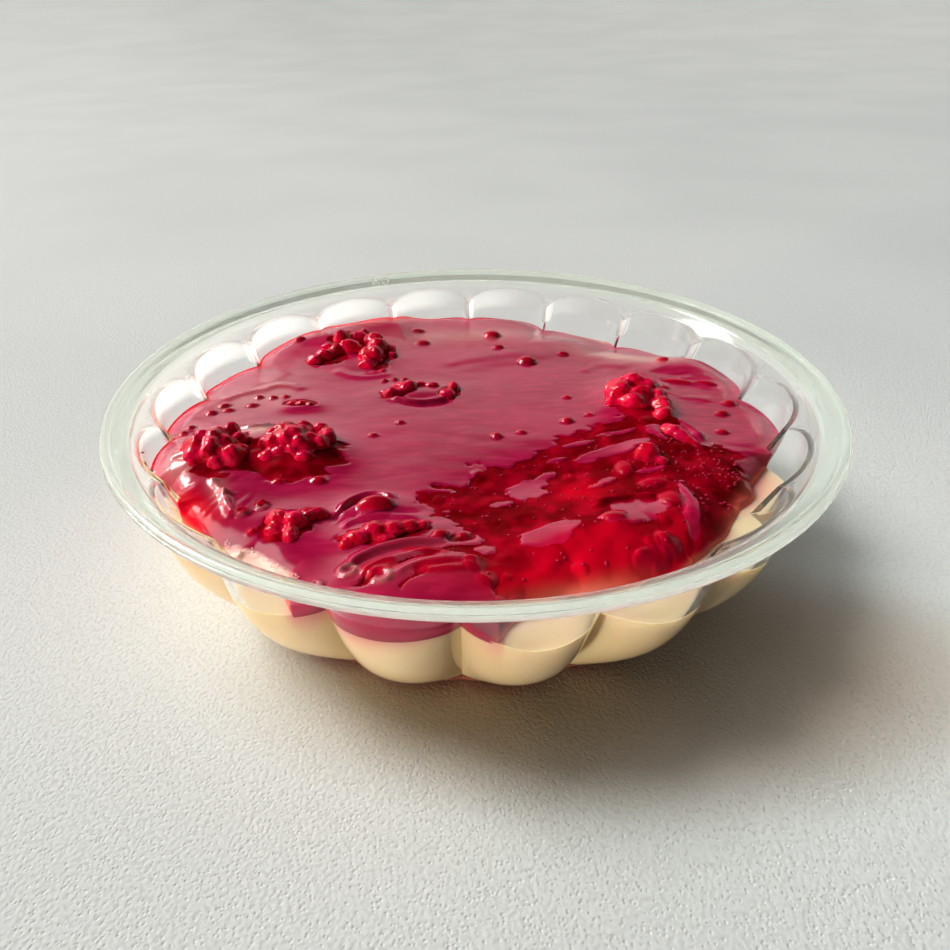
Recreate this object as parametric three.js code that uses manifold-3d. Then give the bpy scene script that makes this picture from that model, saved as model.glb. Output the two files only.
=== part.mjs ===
// A mini cheesecake: a biscuit base, a cream cheese filling and a raspberry topping, in the clear fluted
// dish that it is made and served in. Millimetres, +Z up. The origin is the middle of the dish's foot, on
// the table.
import * as THREE from 'three';
import { mergeVertices } from 'three/addons/utils/BufferGeometryUtils.js';
import Module from 'manifold-3d';

const wasm = await Module();
wasm.setup();

// Dish. Heights are above the table, and radii are the outer face's. A crease is the groove between flutes.
const DISH_HEIGHT = 32.4;
const WALL = 1.2;
const FLOOR = 2;
const FOOT_RADIUS = 46;
const FOOT_CORNER = 0.3;
const FOOT_HEIGHT = 1.2;
const RECESS_RADIUS = 41;
const RECESS_DEPTH = 0.6;
const FLUTES = 18;
const STEPS_PER_FLUTE = 4;
const FIRST_CREASE = THREE.MathUtils.degToRad(-94);
const CREASE = { foot: 45.6, top: 57.6, height: 26.2 };
const LOBE = { foot: 45.8, top: 60.5, height: 28.5, fullness: 2.6 };
const BEAD_RADIUS = 1;
const RIM_RADIUS = 65;

// The rim's step out from the flutes, its neck under the bead, and the inner edge of its slope. Offsets are
// from the lobes' tops, or inwards and down from the rim's edge.
const STEP_OUT = 0.2;
const NECK = { out: 0.8, below: 2.6 };
const LEDGE = { inwards: 4.4, below: 1.8 };

// Inside, a small slope joins the wall to the floor.
const CORNER = { inwards: 0.6, rise: 0.3 };

// Shares of the wall's height, or of the distance from the axis, where the surfaces have rows of points.
const OUTER_ROWS = [0, 0.1, 0.3, 0.6, 1];
const INNER_ROWS = [1, 0.8, 0.6, 0.42, 0.26, 0.12, 0];
const SKIRT_ROWS = [0, 0.25, 0.6, 1];
const SURFACE_ROWS = [0.4, 0.7, 0.85];
const TOPPING_ROWS = [0.97, 0.9, 0.78, 0.6, 0.3];

// Food. A gap keeps each piece just clear of the next.
const GAP = 0.3;
const BISCUIT_RADIUS = 44;
const BISCUIT_TOP = 4.5;
const CREAM_EDGE = 20.6;
const CREAM_DIP = { depth: 1.8, from: 38, to: 53 };
const CREAM_FALL = { at: [40, 44, 20], depth: 2.4 };
const CREAM_SHOULDER = 0.95;
const SURFACE_MARGIN = 1;
const SKIRT_LIFT = 0.2;
const TOPPING_LEVEL = 22.4;
const TOPPING_UNDERCUT = 0.985;
const TOPPING_EDGE_LIFT = 0.45;

const STEPS = FLUTES * STEPS_PER_FLUTE;
const HALF_FLUTE = Math.PI / FLUTES;
const TURNS = Array.from({ length: STEPS }, (_, i) => FIRST_CREASE + (i * 2 * Math.PI) / STEPS);

const creaseRadius = (z) => CREASE.foot + ((CREASE.top - CREASE.foot) * z) / CREASE.height;

const lobeRadius = (z) => {
  const left = Math.max(1 - z / LOBE.height, 0);
  return LOBE.foot + (LOBE.top - LOBE.foot) * (1 - left ** LOBE.fullness);
};

// The shoulder is the cone that closes the flutes' tops. Where it cuts them it leaves their arches.
const shoulderRadius = (z) => {
  const slope = (LOBE.top - CREASE.top) / (LOBE.height - CREASE.height);
  return CREASE.top + slope * (z - CREASE.height);
};

// Radius of the outer face: each flute is an arc from crease to crease through its lobe.
function fluteRadius(turn, z) {
  const crease = creaseRadius(z);
  const lobe = lobeRadius(z);
  const edgeX = crease * Math.cos(HALF_FLUTE);
  const centre = (crease ** 2 - lobe ** 2) / (2 * (edgeX - lobe));
  const fromLobe = THREE.MathUtils.euclideanModulo(turn - FIRST_CREASE, 2 * HALF_FLUTE) - HALF_FLUTE;
  const side = centre * Math.sin(fromLobe);
  return centre * Math.cos(fromLobe) + Math.sqrt((lobe - centre) ** 2 - side ** 2);
}

function archHeight(turn) {
  let low = CREASE.height;
  let high = LOBE.height;
  for (let i = 0; i < 20; i += 1) {
    const z = (low + high) / 2;
    if (fluteRadius(turn, z) > shoulderRadius(z)) {
      low = z;
    } else {
      high = z;
    }
  }
  return (low + high) / 2;
}

// A ring is a closed row of points round the dish. Its function gives the radius and height at a turn.
const ring = (at) => TURNS.map((turn) => {
  const [radius, z] = at(turn);
  return [radius * Math.cos(turn), radius * Math.sin(turn), z];
});
const hoop = (radius, z) => ring(() => [radius, z]);

// A closed body from rings that go from the underside, out and over, to the top, with a point at each end.
function bodyOfRings(rings, startZ, endZ) {
  const positions = rings.flat(2);
  const start = positions.length / 3;
  positions.push(0, 0, startZ, 0, 0, endZ);
  const corner = (i) => new THREE.Vector3().fromArray(positions, 3 * i);
  const between = (i, j) => corner(i).distanceTo(corner(j));
  const index = [];
  for (let i = 0; i < STEPS; i += 1) {
    const next = (i + 1) % STEPS;
    index.push(start, next, i);
    for (let row = 0; row < rings.length - 1; row += 1) {
      const a = row * STEPS + i;
      const b = row * STEPS + next;
      const c = b + STEPS;
      const d = a + STEPS;
      // The shorter diagonal, so that faces that lie along each other are split alike.
      index.push(...(between(a, c) < between(b, d) ? [a, b, c, a, c, d] : [a, b, d, b, c, d]));
    }
    const last = (rings.length - 1) * STEPS;
    index.push(last + i, last + next, start + 1);
  }
  const geometry = new THREE.BufferGeometry();
  geometry.setAttribute('position', new THREE.Float32BufferAttribute(positions, 3));
  geometry.setIndex(index);
  return geometry;
}

function solidOf(geometry) {
  const bare = geometry.clone();
  bare.deleteAttribute('normal');
  bare.deleteAttribute('uv');
  const merged = mergeVertices(bare);
  return new wasm.Manifold(new wasm.Mesh({
    numProp: 3,
    vertProperties: new Float32Array(merged.attributes.position.array),
    triVerts: new Uint32Array(merged.index.array),
  }));
}

function geometryOf(solid) {
  const mesh = solid.getMesh();
  const geometry = new THREE.BufferGeometry();
  geometry.setAttribute('position', new THREE.BufferAttribute(mesh.vertProperties, 3));
  geometry.setIndex(new THREE.BufferAttribute(mesh.triVerts, 1));
  return geometry;
}

function dish() {
  const wall = (share, inset, bottom) => ring((turn) => {
    const z = bottom + (archHeight(turn) - bottom) * share;
    return [fluteRadius(turn, z) - inset, z];
  });
  const beadMiddle = RIM_RADIUS - BEAD_RADIUS;
  const beadHeight = DISH_HEIGHT - BEAD_RADIUS;
  const bead = [-90, 0, 90].map((degrees) => {
    const angle = THREE.MathUtils.degToRad(degrees);
    return hoop(beadMiddle + BEAD_RADIUS * Math.cos(angle), beadHeight + BEAD_RADIUS * Math.sin(angle));
  });
  return bodyOfRings([
    hoop(RECESS_RADIUS - RECESS_DEPTH, RECESS_DEPTH),
    hoop(RECESS_RADIUS, 0),
    hoop(FOOT_RADIUS - FOOT_CORNER, 0),
    ...OUTER_ROWS.map((share) => wall(share, 0, FOOT_HEIGHT)),
    hoop(LOBE.top + STEP_OUT, LOBE.height + STEP_OUT),
    hoop(LOBE.top + NECK.out, DISH_HEIGHT - NECK.below),
    ...bead,
    hoop(RIM_RADIUS - LEDGE.inwards, DISH_HEIGHT - LEDGE.below),
    hoop(LOBE.top - WALL + STEP_OUT, LOBE.height + STEP_OUT),
    ...INNER_ROWS.map((share) => wall(share, WALL, FLOOR + CORNER.rise)),
    ring((turn) => [fluteRadius(turn, FLOOR) - WALL - CORNER.inwards, FLOOR]),
  ], RECESS_DEPTH, FLOOR);
}

// Room for food at a turn and height: the radius just inside the wall.
const room = (turn, z) => fluteRadius(turn, z) - WALL - GAP;

// A smooth mound over the plan, 1 at its middle.
function mound(x, y, [atX, atY, wide, deep = wide]) {
  return Math.exp(-(((x - atX) / wide) ** 2) - ((y - atY) / deep) ** 2);
}

// Top of the filling: highest against the glass, dipped under the fruit.
function creamHeight(x, y) {
  const fall = CREAM_FALL.depth * mound(x, y, CREAM_FALL.at);
  const rise = THREE.MathUtils.smoothstep(Math.hypot(x, y), CREAM_DIP.from, CREAM_DIP.to);
  return CREAM_EDGE - fall - CREAM_DIP.depth * (1 - rise);
}

// Height of the filling's edge against the glass.
function creamEdge(turn) {
  const radius = room(turn, CREAM_EDGE);
  return creamHeight(radius * Math.cos(turn), radius * Math.sin(turn));
}

// Rows across the filling's top and the topping's underside share these radii, so the two lie parallel.
const surfaceRadius = (turn, share) => (room(turn, CREAM_EDGE) - SURFACE_MARGIN) * share;

function biscuitBase() {
  return bodyOfRings([
    hoop(BISCUIT_RADIUS, FLOOR + GAP),
    hoop(BISCUIT_RADIUS, BISCUIT_TOP),
  ], FLOOR + GAP, BISCUIT_TOP);
}

// The filling goes over the biscuit and, as a skirt against the wall, down past its edge.
function filling() {
  const skirtBottom = FLOOR + GAP + SKIRT_LIFT;
  const side = (share) => ring((turn) => {
    const z = skirtBottom + (creamEdge(turn) - skirtBottom) * share;
    return [room(turn, z), z];
  });
  const surface = (share) => ring((turn) => {
    const radius = surfaceRadius(turn, share);
    return [radius, creamHeight(radius * Math.cos(turn), radius * Math.sin(turn))];
  });
  return bodyOfRings([
    hoop(BISCUIT_RADIUS + GAP, BISCUIT_TOP + GAP),
    hoop(BISCUIT_RADIUS + GAP, skirtBottom),
    ...SKIRT_ROWS.map(side),
    surface(CREAM_SHOULDER),
    ...SURFACE_ROWS.toReversed().map(surface),
  ], BISCUIT_TOP + GAP, creamHeight(0, 0));
}

// The sauce runs to the glass, apart from the stretches where it stops short and the filling shows.
const BARE_STRETCHES = [
  { middle: -52, spread: 30, width: 4 },
  { middle: -137, spread: 16, width: 1.6 },
];

function toppingRadius(turn) {
  const bare = BARE_STRETCHES.reduce((sum, { middle, spread, width }) => {
    const away = THREE.MathUtils.euclideanModulo(THREE.MathUtils.radToDeg(turn) - middle + 180, 360) - 180;
    return sum + width * Math.exp(-((away / spread) ** 4));
  }, 0);
  return room(turn, creamEdge(turn)) - bare;
}

// Crushed fruit lies under the sauce as mounds. Each has its middle, its half widths and its height.
const MOUNDS = [
  { at: [-10, -45, 9, 5], height: 2.4 },
  { at: [19, -38, 9, 7], height: 2.2 },
  { at: [-18, -29, 5, 2.2], height: 1 },
  { at: [41, -20, 6, 9], height: 0.9 },
  { at: [-28, 42, 12, 10], height: 1.4 },
  { at: [48, 24, 8, 8], height: 1.1 },
  { at: [14, -20, 14, 9], height: -0.7 },
  { at: [40, 44, 18, 18], height: -2.2 },
];

function toppingHeight(x, y) {
  const relief = MOUNDS.reduce((sum, { at, height }) => sum + height * mound(x, y, at), 0);
  return TOPPING_LEVEL + relief;
}

function toppingBody() {
  const row = (radiusAt, share, lift) => ring((turn) => {
    const radius = radiusAt(turn, share);
    const x = radius * Math.cos(turn);
    const y = radius * Math.sin(turn);
    const under = creamHeight(x, y) + GAP;
    return [radius, under + lift * (toppingHeight(x, y) - under)];
  });
  const across = (turn, share) => toppingRadius(turn) * share;
  return bodyOfRings([
    ...SURFACE_ROWS.map((share) => row(surfaceRadius, share, 0)),
    row(across, TOPPING_UNDERCUT, 0),
    row(across, 1, TOPPING_EDGE_LIFT),
    ...TOPPING_ROWS.map((share) => row(across, share, 1)),
  ], creamHeight(0, 0) + GAP, toppingHeight(0, 0));
}

// Raspberries, whole and broken. Drupelets are rounded bumps on an ellipsoid that sits on the filling.
const BERRIES = [
  { name: 'raspberry_1', at: [-46.5, -11.5], size: [7.2, 6.4, 5.6], turn: 20, detail: 3 },
  { name: 'raspberry_2', at: [-31.8, -10.5], size: [7.8, 6.6, 5.2], turn: -15, detail: 3 },
  { name: 'raspberry_3', at: [-24.5, 36], size: [9, 7, 3.6], turn: 10, detail: 2 },
  { name: 'raspberry_4', at: [33.2, 4.5], size: [6.2, 7.2, 4.8], turn: 25, detail: 3 },
  { name: 'berry_piece_1', at: [-8.5, 13], size: [7.8, 3.8, 2], turn: 0, detail: 1 },
  { name: 'berry_piece_2', at: [-14.5, -37.3], size: [6.6, 2.8, 2.6], turn: 6, detail: 1 },
  { name: 'berry_piece_3', at: [-30.5, -34.8], size: [3, 4, 2.4], turn: -20, detail: 1 },
  { name: 'berry_piece_4', at: [-26, -31.5], size: [2, 1.8, 1.6], turn: 0, detail: 1 },
  { name: 'berry_piece_5', at: [30.3, -18.6], size: [3, 3.4, 3.4], turn: 0, detail: 1 },
  { name: 'berry_piece_6', at: [38, -11], size: [2, 4.6, 2.4], turn: 22, detail: 1 },
  { name: 'berry_piece_7', at: [-32.8, 8.5], size: [3.4, 2.2, 1.6], turn: -10, detail: 1 },
];
const DRUPELETS = 30;
const DRUPELET_DEPTH = 0.14;
const GOLDEN_ANGLE = Math.PI * (3 - Math.sqrt(5));
const drupeletAxes = Array.from({ length: DRUPELETS }, (_, i) => {
  const z = 1 - (2 * (i + 0.5)) / DRUPELETS;
  const radius = Math.sqrt(1 - z * z);
  return new THREE.Vector3(radius * Math.cos(i * GOLDEN_ANGLE), radius * Math.sin(i * GOLDEN_ANGLE), z);
});

// Solid angle shared out evenly: how far a drupelet's edge is from its middle, as 1 minus the cosine.
const DRUPELET_EDGE = 2 / DRUPELETS;

function berry({ at: [x, y], size: [wide, deep, high], turn, detail }, grow) {
  const geometry = new THREE.IcosahedronGeometry(1, detail);
  const position = geometry.attributes.position;
  const point = new THREE.Vector3();
  const sink = Math.min(high, toppingHeight(x, y) - creamHeight(x, y) - 2 * GAP);
  for (let i = 0; i < position.count; i += 1) {
    point.fromBufferAttribute(position, i).normalize();
    const nearest = Math.max(...drupeletAxes.map((axis) => axis.dot(point)));
    point.multiplyScalar(1 - (DRUPELET_DEPTH * (1 - nearest)) / DRUPELET_EDGE);
    const reach = point.z > 0 ? high : sink;
    position.setXYZ(i, point.x * (wide + grow), point.y * (deep + grow), point.z * (reach + grow));
  }
  geometry.rotateZ(THREE.MathUtils.degToRad(turn));
  geometry.translate(x, y, toppingHeight(x, y));
  return geometry;
}

function material(color, roughness, extra = {}) {
  return new THREE.MeshStandardMaterial({ color, roughness, ...extra });
}

const clear = material(0xdfe9e4, 0.05, { transparent: true, opacity: 0.35 });
const biscuit = material(0xb98a6a, 0.85);
const cream = material(0xeed9a4, 0.5);
const sauce = material(0xa01030, 0.15);
const fruit = material(0x8c0618, 0.2);

let toppingSolid = solidOf(toppingBody());
for (const place of BERRIES) {
  toppingSolid = toppingSolid.subtract(solidOf(berry(place, GAP)));
}

const cheesecake = new THREE.Group();
const add = (name, geometry, finish) => {
  const mesh = new THREE.Mesh(geometry, finish);
  mesh.name = name;
  cheesecake.add(mesh);
};
add('dish', dish(), clear);
add('biscuit_base', biscuitBase(), biscuit);
add('cheese_filling', filling(), cream);
add('raspberry_topping', geometryOf(toppingSolid), sauce);
for (const place of BERRIES) {
  add(place.name, geometryOf(solidOf(berry(place, 0))), fruit);
}

export default cheesecake;
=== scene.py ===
# %% [markdown]
# # A mini cheesecake in its clear fluted dish
#
# The dish is filled in layers: a thin biscuit base, a cream cheese filling and a topping of crushed
# raspberries in their sauce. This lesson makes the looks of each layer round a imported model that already
# has the right sizes. Lengths of shapes are in millimetres and become metres in one place, `piece`. Patterns
# in the materials are in metres, as Blender's own coordinates are.

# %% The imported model, and the sizes that come from it
import math

import bpy
import numpy as np
from mathutils import Matrix, Vector


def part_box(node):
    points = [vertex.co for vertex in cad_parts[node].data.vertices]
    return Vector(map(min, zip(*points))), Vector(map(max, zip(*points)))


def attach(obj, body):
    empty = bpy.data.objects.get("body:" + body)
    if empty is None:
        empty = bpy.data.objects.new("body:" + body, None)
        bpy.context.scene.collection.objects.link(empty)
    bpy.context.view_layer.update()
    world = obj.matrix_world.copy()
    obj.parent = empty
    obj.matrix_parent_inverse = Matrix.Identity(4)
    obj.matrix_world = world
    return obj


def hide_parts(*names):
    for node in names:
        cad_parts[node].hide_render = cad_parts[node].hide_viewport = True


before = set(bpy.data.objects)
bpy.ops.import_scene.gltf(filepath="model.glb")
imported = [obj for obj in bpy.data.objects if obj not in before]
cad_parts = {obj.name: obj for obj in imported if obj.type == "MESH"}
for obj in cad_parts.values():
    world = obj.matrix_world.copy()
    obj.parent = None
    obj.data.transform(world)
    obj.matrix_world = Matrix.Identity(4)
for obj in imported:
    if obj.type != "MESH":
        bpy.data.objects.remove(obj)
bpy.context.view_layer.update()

MM = 0.001
dish_low, dish_high = (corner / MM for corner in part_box("dish"))
RIM_RADIUS = (dish_high.x - dish_low.x) / 2
DISH_HEIGHT = dish_high.z
BISCUIT_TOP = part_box("biscuit_base")[1].z / MM
print("nodes in the packed model:", len(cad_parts))
print("dish:", round(2 * RIM_RADIUS, 1), "mm across,", round(DISH_HEIGHT, 1), "mm high")

# %% [markdown]
# ## A helper for node trees
#
# Materials and geometry are both made of nodes. Wiring them by hand is long-winded, so one small class
# wraps an output socket. Plain arithmetic on it adds Math nodes, and `node` adds any other kind. The nodes
# that most materials use have a method of their own.

# %% Wires that do arithmetic


class Wire:
    """An output socket in a node tree. Arithmetic on a wire adds the Math nodes that work it out."""

    def __init__(self, tree, socket=None):
        self.tree = tree
        self.socket = socket

    def fill(self, node, sockets):
        """Sets sockets by identifier or name: a wire is linked, and anything else is the socket's value."""
        for key, value in sockets.items():
            socket = next(s for s in node.inputs if key in (s.identifier, s.name))
            if isinstance(value, Wire):
                self.tree.links.new(value.socket, socket)
            else:
                socket.default_value = value

    def node(self, kind, settings=None, sockets=None, out=0):
        """Adds a node: its settings first, then the values or wires of its sockets. Returns one output."""
        made = self.tree.nodes.new(kind)
        for name, value in (settings or {}).items():
            setattr(made, name, value)
        self.fill(made, sockets or {})
        return Wire(self.tree, made.outputs[out])

    def math(self, operation, *values):
        sockets = dict(zip(("Value", "Value_001", "Value_002"), values))
        return self.node("ShaderNodeMath", {"operation": operation}, sockets)

    def __add__(self, other):
        return self.math("ADD", self, other)

    def __sub__(self, other):
        return self.math("SUBTRACT", self, other)

    def __rsub__(self, other):
        return self.math("SUBTRACT", other, self)

    def __mul__(self, other):
        return self.math("MULTIPLY", self, other)

    def __truediv__(self, other):
        return self.math("DIVIDE", self, other)

    __radd__ = __add__
    __rmul__ = __mul__

    def step(self, low, high):
        """0 below low, 1 above high, and a smooth climb between."""
        settings = {"interpolation_type": "SMOOTHSTEP"}
        return self.node("ShaderNodeMapRange", settings, {"Value": self, "From Min": low, "From Max": high})

    def blend(self, first, second):
        """The first colour where this wire is 0, the second where it is 1."""
        sockets = {"Factor_Float": self, "A_Color": first, "B_Color": second}
        return self.node("ShaderNodeMix", {"data_type": "RGBA"}, sockets, out=2)

    def parts(self):
        """The three numbers of a vector."""
        return [self.node("ShaderNodeSeparateXYZ", None, {"Vector": self}, out=i) for i in range(3)]

    def noise(self, scale, detail=0.0, out=0):
        """Cloudy numbers at a place, or three of them as a colour with out=1."""
        return self.node("ShaderNodeTexNoise", None, {"Vector": self, "Scale": scale, "Detail": detail}, out)

    def cells(self, scale):
        """Distance from a place to the middle of its cell."""
        return self.node("ShaderNodeTexVoronoi", None, {"Vector": self, "Scale": scale})

    def attribute(self, name):
        """A number that the mesh keeps for each point."""
        return self.node("ShaderNodeAttribute", {"attribute_name": name}, out=2)

    def bump(self, strength, distance=0.0002):
        """A normal that makes this wire look raised."""
        return self.node("ShaderNodeBump", None, {"Strength": strength, "Distance": distance, "Height": self})


def colour(red, green, blue):
    return (red, green, blue, 1.0)


def new_material(name):
    """A material, a wire to start its nodes from, and the wire of its Object coordinates."""
    material = bpy.data.materials.new(name)
    material.use_nodes = True
    wire = Wire(material.node_tree)
    return material, wire, wire.node("ShaderNodeTexCoord", out=3)


def set_surface(material, **sockets):
    """Sets the surface shader's sockets, with _ for the spaces in their names."""
    shader = material.node_tree.nodes["Principled BSDF"]
    named = {name.replace("_", " "): value for name, value in sockets.items()}
    Wire(material.node_tree).fill(shader, named)
    return material


# %% [markdown]
# ## Helpers for meshes
#
# Most pieces here are surfaces worked out from a formula, so NumPy makes the points and Blender only gets
# the finished lists. Points are in millimetres until `piece` scales them.

# %% Meshes from points


def piece(name, points, faces, finish, sharp=None):
    """An object from points in millimetres. Edges steeper than sharp degrees stay crisp."""
    mesh = bpy.data.meshes.new(name)
    mesh.from_pydata((np.asarray(points) * MM).tolist(), [], faces)
    made = bpy.data.objects.new(name, mesh)
    bpy.context.scene.collection.objects.link(made)
    mesh.shade_smooth()
    if sharp is not None:
        mesh.set_sharp_from_angle(angle=math.radians(sharp))
    mesh.materials.append(finish)
    return made


def strip(rows, columns, closed=True):
    """Quads between rows of points that lie one after another."""
    across = columns if closed else columns - 1
    row, column = np.meshgrid(np.arange(rows - 1), np.arange(across), indexing="ij")
    start = row * columns + column
    following = row * columns + (column + 1) % columns
    return np.stack([start, following, following + columns, start + columns], -1).reshape(-1, 4).tolist()


def describe(made):
    print(made.name + ":", len(made.data.vertices), "points,", len(made.data.polygons), "faces")


def store(made, name, values):
    """Keeps one number for each point, for the materials to read."""
    attribute = made.data.attributes.new(name, "FLOAT", "POINT")
    attribute.data.foreach_set("value", np.asarray(values, np.float32))


# %% [markdown]
# ## Camera, table and light
#
# The camera looks down at about 34 degrees, close enough for the front of the rim to look much nearer than
# the back. One broad window stands behind to the left. The room round it is dim above and bright near the
# horizon behind, and that bright wall is what the sauce mirrors.

# %% Camera
CAMERA_PLACE = (-7.46, -127.76, 90.78)
CAMERA_PITCH = 34.48
CAMERA_ROLL = -1.78
CAMERA_LENS = 28.16
CAMERA_SHIFT = (0.0469, 0.0316)

camera = bpy.data.objects.new("camera", bpy.data.cameras.new("camera"))
bpy.context.scene.collection.objects.link(camera)
bpy.context.scene.camera = camera
camera.location = Vector(CAMERA_PLACE) * MM
pitch = Matrix.Rotation(math.radians(90 - CAMERA_PITCH), 4, "X")
roll = Matrix.Rotation(math.radians(CAMERA_ROLL), 4, "Z")
camera.rotation_euler = (pitch @ roll).to_euler()
camera.data.lens = CAMERA_LENS
camera.data.shift_x, camera.data.shift_y = CAMERA_SHIFT
camera.data.clip_start = 0.01
camera.data.clip_end = 100

# %% [markdown]
# The table is pale and finely pitted. Next to the dish a warm brown patch is painted into its colour, a
# painted shadow as warm as light that comes through the filling. Its colour is also painted lighter to the
# left and front and darker to the right and back, a painted fall-off of the light.

# %% Table
PIT_SCALE = 1500.0


def table_finish():
    material, _, place = new_material("pale_table")
    x, y, _ = place.parts()
    clouds = place.noise(9.0, 1.0)
    grain = place.noise(PIT_SCALE)
    pits = place.cells(PIT_SCALE)
    # Painted light: lighter to the left and front, darker to the right and back, with an even mottle of
    # clouds.
    shade = (x + 0.35 * y).step(-0.25, 0.45) * 0.8 + (clouds.step(0.3, 0.7) - 0.5) * 0.25
    tone = shade.blend(colour(0.76, 0.80, 0.81), colour(0.60, 0.64, 0.65))
    # Painted shadow: a warm brown patch round the dish, reaching out to the right front where its shadow
    # falls.
    from_painted_shadow = (x - 0.026) * (x - 0.026) / 0.0028 + (y + 0.044) * (y + 0.044) / 0.0005
    tone = (0.75 - 0.75 * from_painted_shadow.step(0.15, 1.9)).blend(tone, colour(0.36, 0.26, 0.17))
    speck = 0.35 * (1 - pits.step(0.0, 0.4)) + 0.5 * grain.step(0.42, 0.75)
    speckled = (0.30 * speck).blend(tone, colour(0.36, 0.36, 0.35))
    relief = pits.step(0.0, 0.45) + grain
    return set_surface(
        material, Base_Color=speckled, Roughness=0.85, Specular_IOR_Level=0.15, Normal=relief.bump(0.4)
    )


SWEEP_FROM = 700


def sweep():
    """A flat table that curves up far behind, like a studio's paper backdrop, so no horizon shows."""
    points = [(0, 0, 0)]
    radii = [300, SWEEP_FROM, *np.linspace(1000, 4000, 13)]
    columns = 96
    for radius in radii:
        for i in range(columns):
            turn = 2 * math.pi * i / columns
            behind = (0.5 + 0.5 * math.sin(turn)) ** 2
            z = 0.00006 * max(radius - SWEEP_FROM, 0) ** 2 * behind
            points.append((radius * math.cos(turn), radius * math.sin(turn), z))
    faces = [(0, 1 + i, 1 + (i + 1) % columns) for i in range(columns)]
    faces += [tuple(1 + corner for corner in reversed(face)) for face in strip(len(radii), columns)]
    return piece("table", points, faces, table_finish())


sweep()

# %% [markdown]
# The lamp stands for a warm card low down in front to the left. It doesn't show in mirrors, since a bare
# lamp makes hard white glints. The window is painted on the room round the scene, so it lights the food and
# is also what the wet parts mirror.

# %% Lamp
WINDOW_FROM, WINDOW_HEIGHT = 152, 40
CARD_FROM, CARD_HEIGHT = -142, 1.5


def towards(turn, height):
    """Direction of something so many degrees round from +X and so many up."""
    turn = math.radians(turn)
    height = math.radians(height)
    return Vector((math.cos(turn) * math.cos(height), math.sin(turn) * math.cos(height), math.sin(height)))


def sun(name, direction, strength, angle, tint):
    """A far lamp. Its angle sets how soft the shadow's edge is."""
    made = bpy.data.objects.new(name, bpy.data.lights.new(name, "SUN"))
    bpy.context.scene.collection.objects.link(made)
    made.data.energy = strength
    made.data.angle = math.radians(angle)
    made.data.color = tint
    made.rotation_mode = "QUATERNION"
    made.rotation_quaternion = direction.to_track_quat("Z", "Y")
    made.visible_glossy = False
    made.visible_transmission = False


sun("warm_card", towards(CARD_FROM, CARD_HEIGHT), 3.0, 5, (1.0, 0.87, 0.70))

# %% Room


def room():
    """Bright low down behind, a window behind to the left, and nearly dark overhead and in front."""
    world = bpy.data.worlds.new("room")
    bpy.context.scene.world = world
    world.use_nodes = True
    wire = Wire(world.node_tree)
    right, back, up = wire.node("ShaderNodeTexCoord").parts()
    low = 1 - up.step(0.46, 0.64)
    behind = back.step(-0.1, 0.6)
    left = 0 - right
    wall = 0.62 + 0.20 * left.step(-0.35, 0.05) + 1.1 * left.step(0.03, 0.45)
    to_window = towards(WINDOW_FROM, WINDOW_HEIGHT)
    near_window = right * to_window.x + back * to_window.y + up * to_window.z
    window = 22.0 * near_window.step(0.968, 0.985) + 0.6 * near_window.step(0.85, 0.97)
    strength = 0.016 + low * behind * wall + window
    background = world.node_tree.nodes["Background"]
    wire.fill(background, {"Color": colour(1.0, 0.965, 0.92), "Strength": strength})


room()
bpy.context.scene.view_settings.view_transform = "Standard"

# %% [markdown]
# ## The dish
#
# The real dish is pressed from clear material, 18 flutes round. Each flute is an arc that bulges out from
# crease to crease and ends at the top in an arch, where a cone cuts it. Modelling all of them by hand would
# be slow and uneven. So one slice of the wall is worked out exactly, and Geometry Nodes turn copies of it
# round the axis and weld the seams.

# %% Sizes of the dish
WALL = 1.2
FLOOR = 2.0
FOOT_RADIUS = 46.0
FOOT_HEIGHT = 1.2
RECESS_RADIUS = 41.0
RECESS_DEPTH = 0.6
FLUTES = 18
FIRST_CREASE = math.radians(-94)
HALF_FLUTE = math.pi / FLUTES
CREASE_FOOT, CREASE_TOP, CREASE_HEIGHT = 45.6, 57.6, 26.2
LOBE_FOOT, LOBE_TOP, LOBE_HEIGHT, LOBE_FULLNESS = 45.8, 60.5, 28.5, 2.6
BEAD_RADIUS = 1.0


def from_crease(turn):
    """0 in a crease and 1 in the middle of a flute."""
    return np.abs(np.sin((turn - FIRST_CREASE) * FLUTES / 2))


def flute_radius(turn, z):
    """Radius of the outer wall: an arc from crease to crease through the middle of the flute."""
    crease = CREASE_FOOT + (CREASE_TOP - CREASE_FOOT) * z / CREASE_HEIGHT
    lobe = LOBE_FOOT + (LOBE_TOP - LOBE_FOOT) * (1 - np.maximum(1 - z / LOBE_HEIGHT, 0) ** LOBE_FULLNESS)
    centre = (crease**2 - lobe**2) / (2 * (crease * math.cos(HALF_FLUTE) - lobe))
    from_lobe = (turn - FIRST_CREASE) % (2 * HALF_FLUTE) - HALF_FLUTE
    return centre * np.cos(from_lobe) + np.sqrt((lobe - centre) ** 2 - (centre * np.sin(from_lobe)) ** 2)


def arch_height(turn):
    """Height at which the cone of the shoulder cuts the flute, found by halving."""
    low = np.full_like(turn, CREASE_HEIGHT)
    high = np.full_like(turn, LOBE_HEIGHT)
    for _ in range(24):
        z = (low + high) / 2
        shoulder = CREASE_TOP + (LOBE_TOP - CREASE_TOP) * (z - CREASE_HEIGHT) / (LOBE_HEIGHT - CREASE_HEIGHT)
        below = flute_radius(turn, z) > shoulder
        low = np.where(below, z, low)
        high = np.where(below, high, z)
    return (low + high) / 2


# %% [markdown]
# Going once round the section of the wall gives the rows of the slice: out along the underside, up the
# outside, over the beaded rim and down the inside. Rows are closer together where the wall curves.

# %% One slice of the wall
STEPS_IN_SLICE = 24
ROWS_UP_WALL = 26

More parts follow.
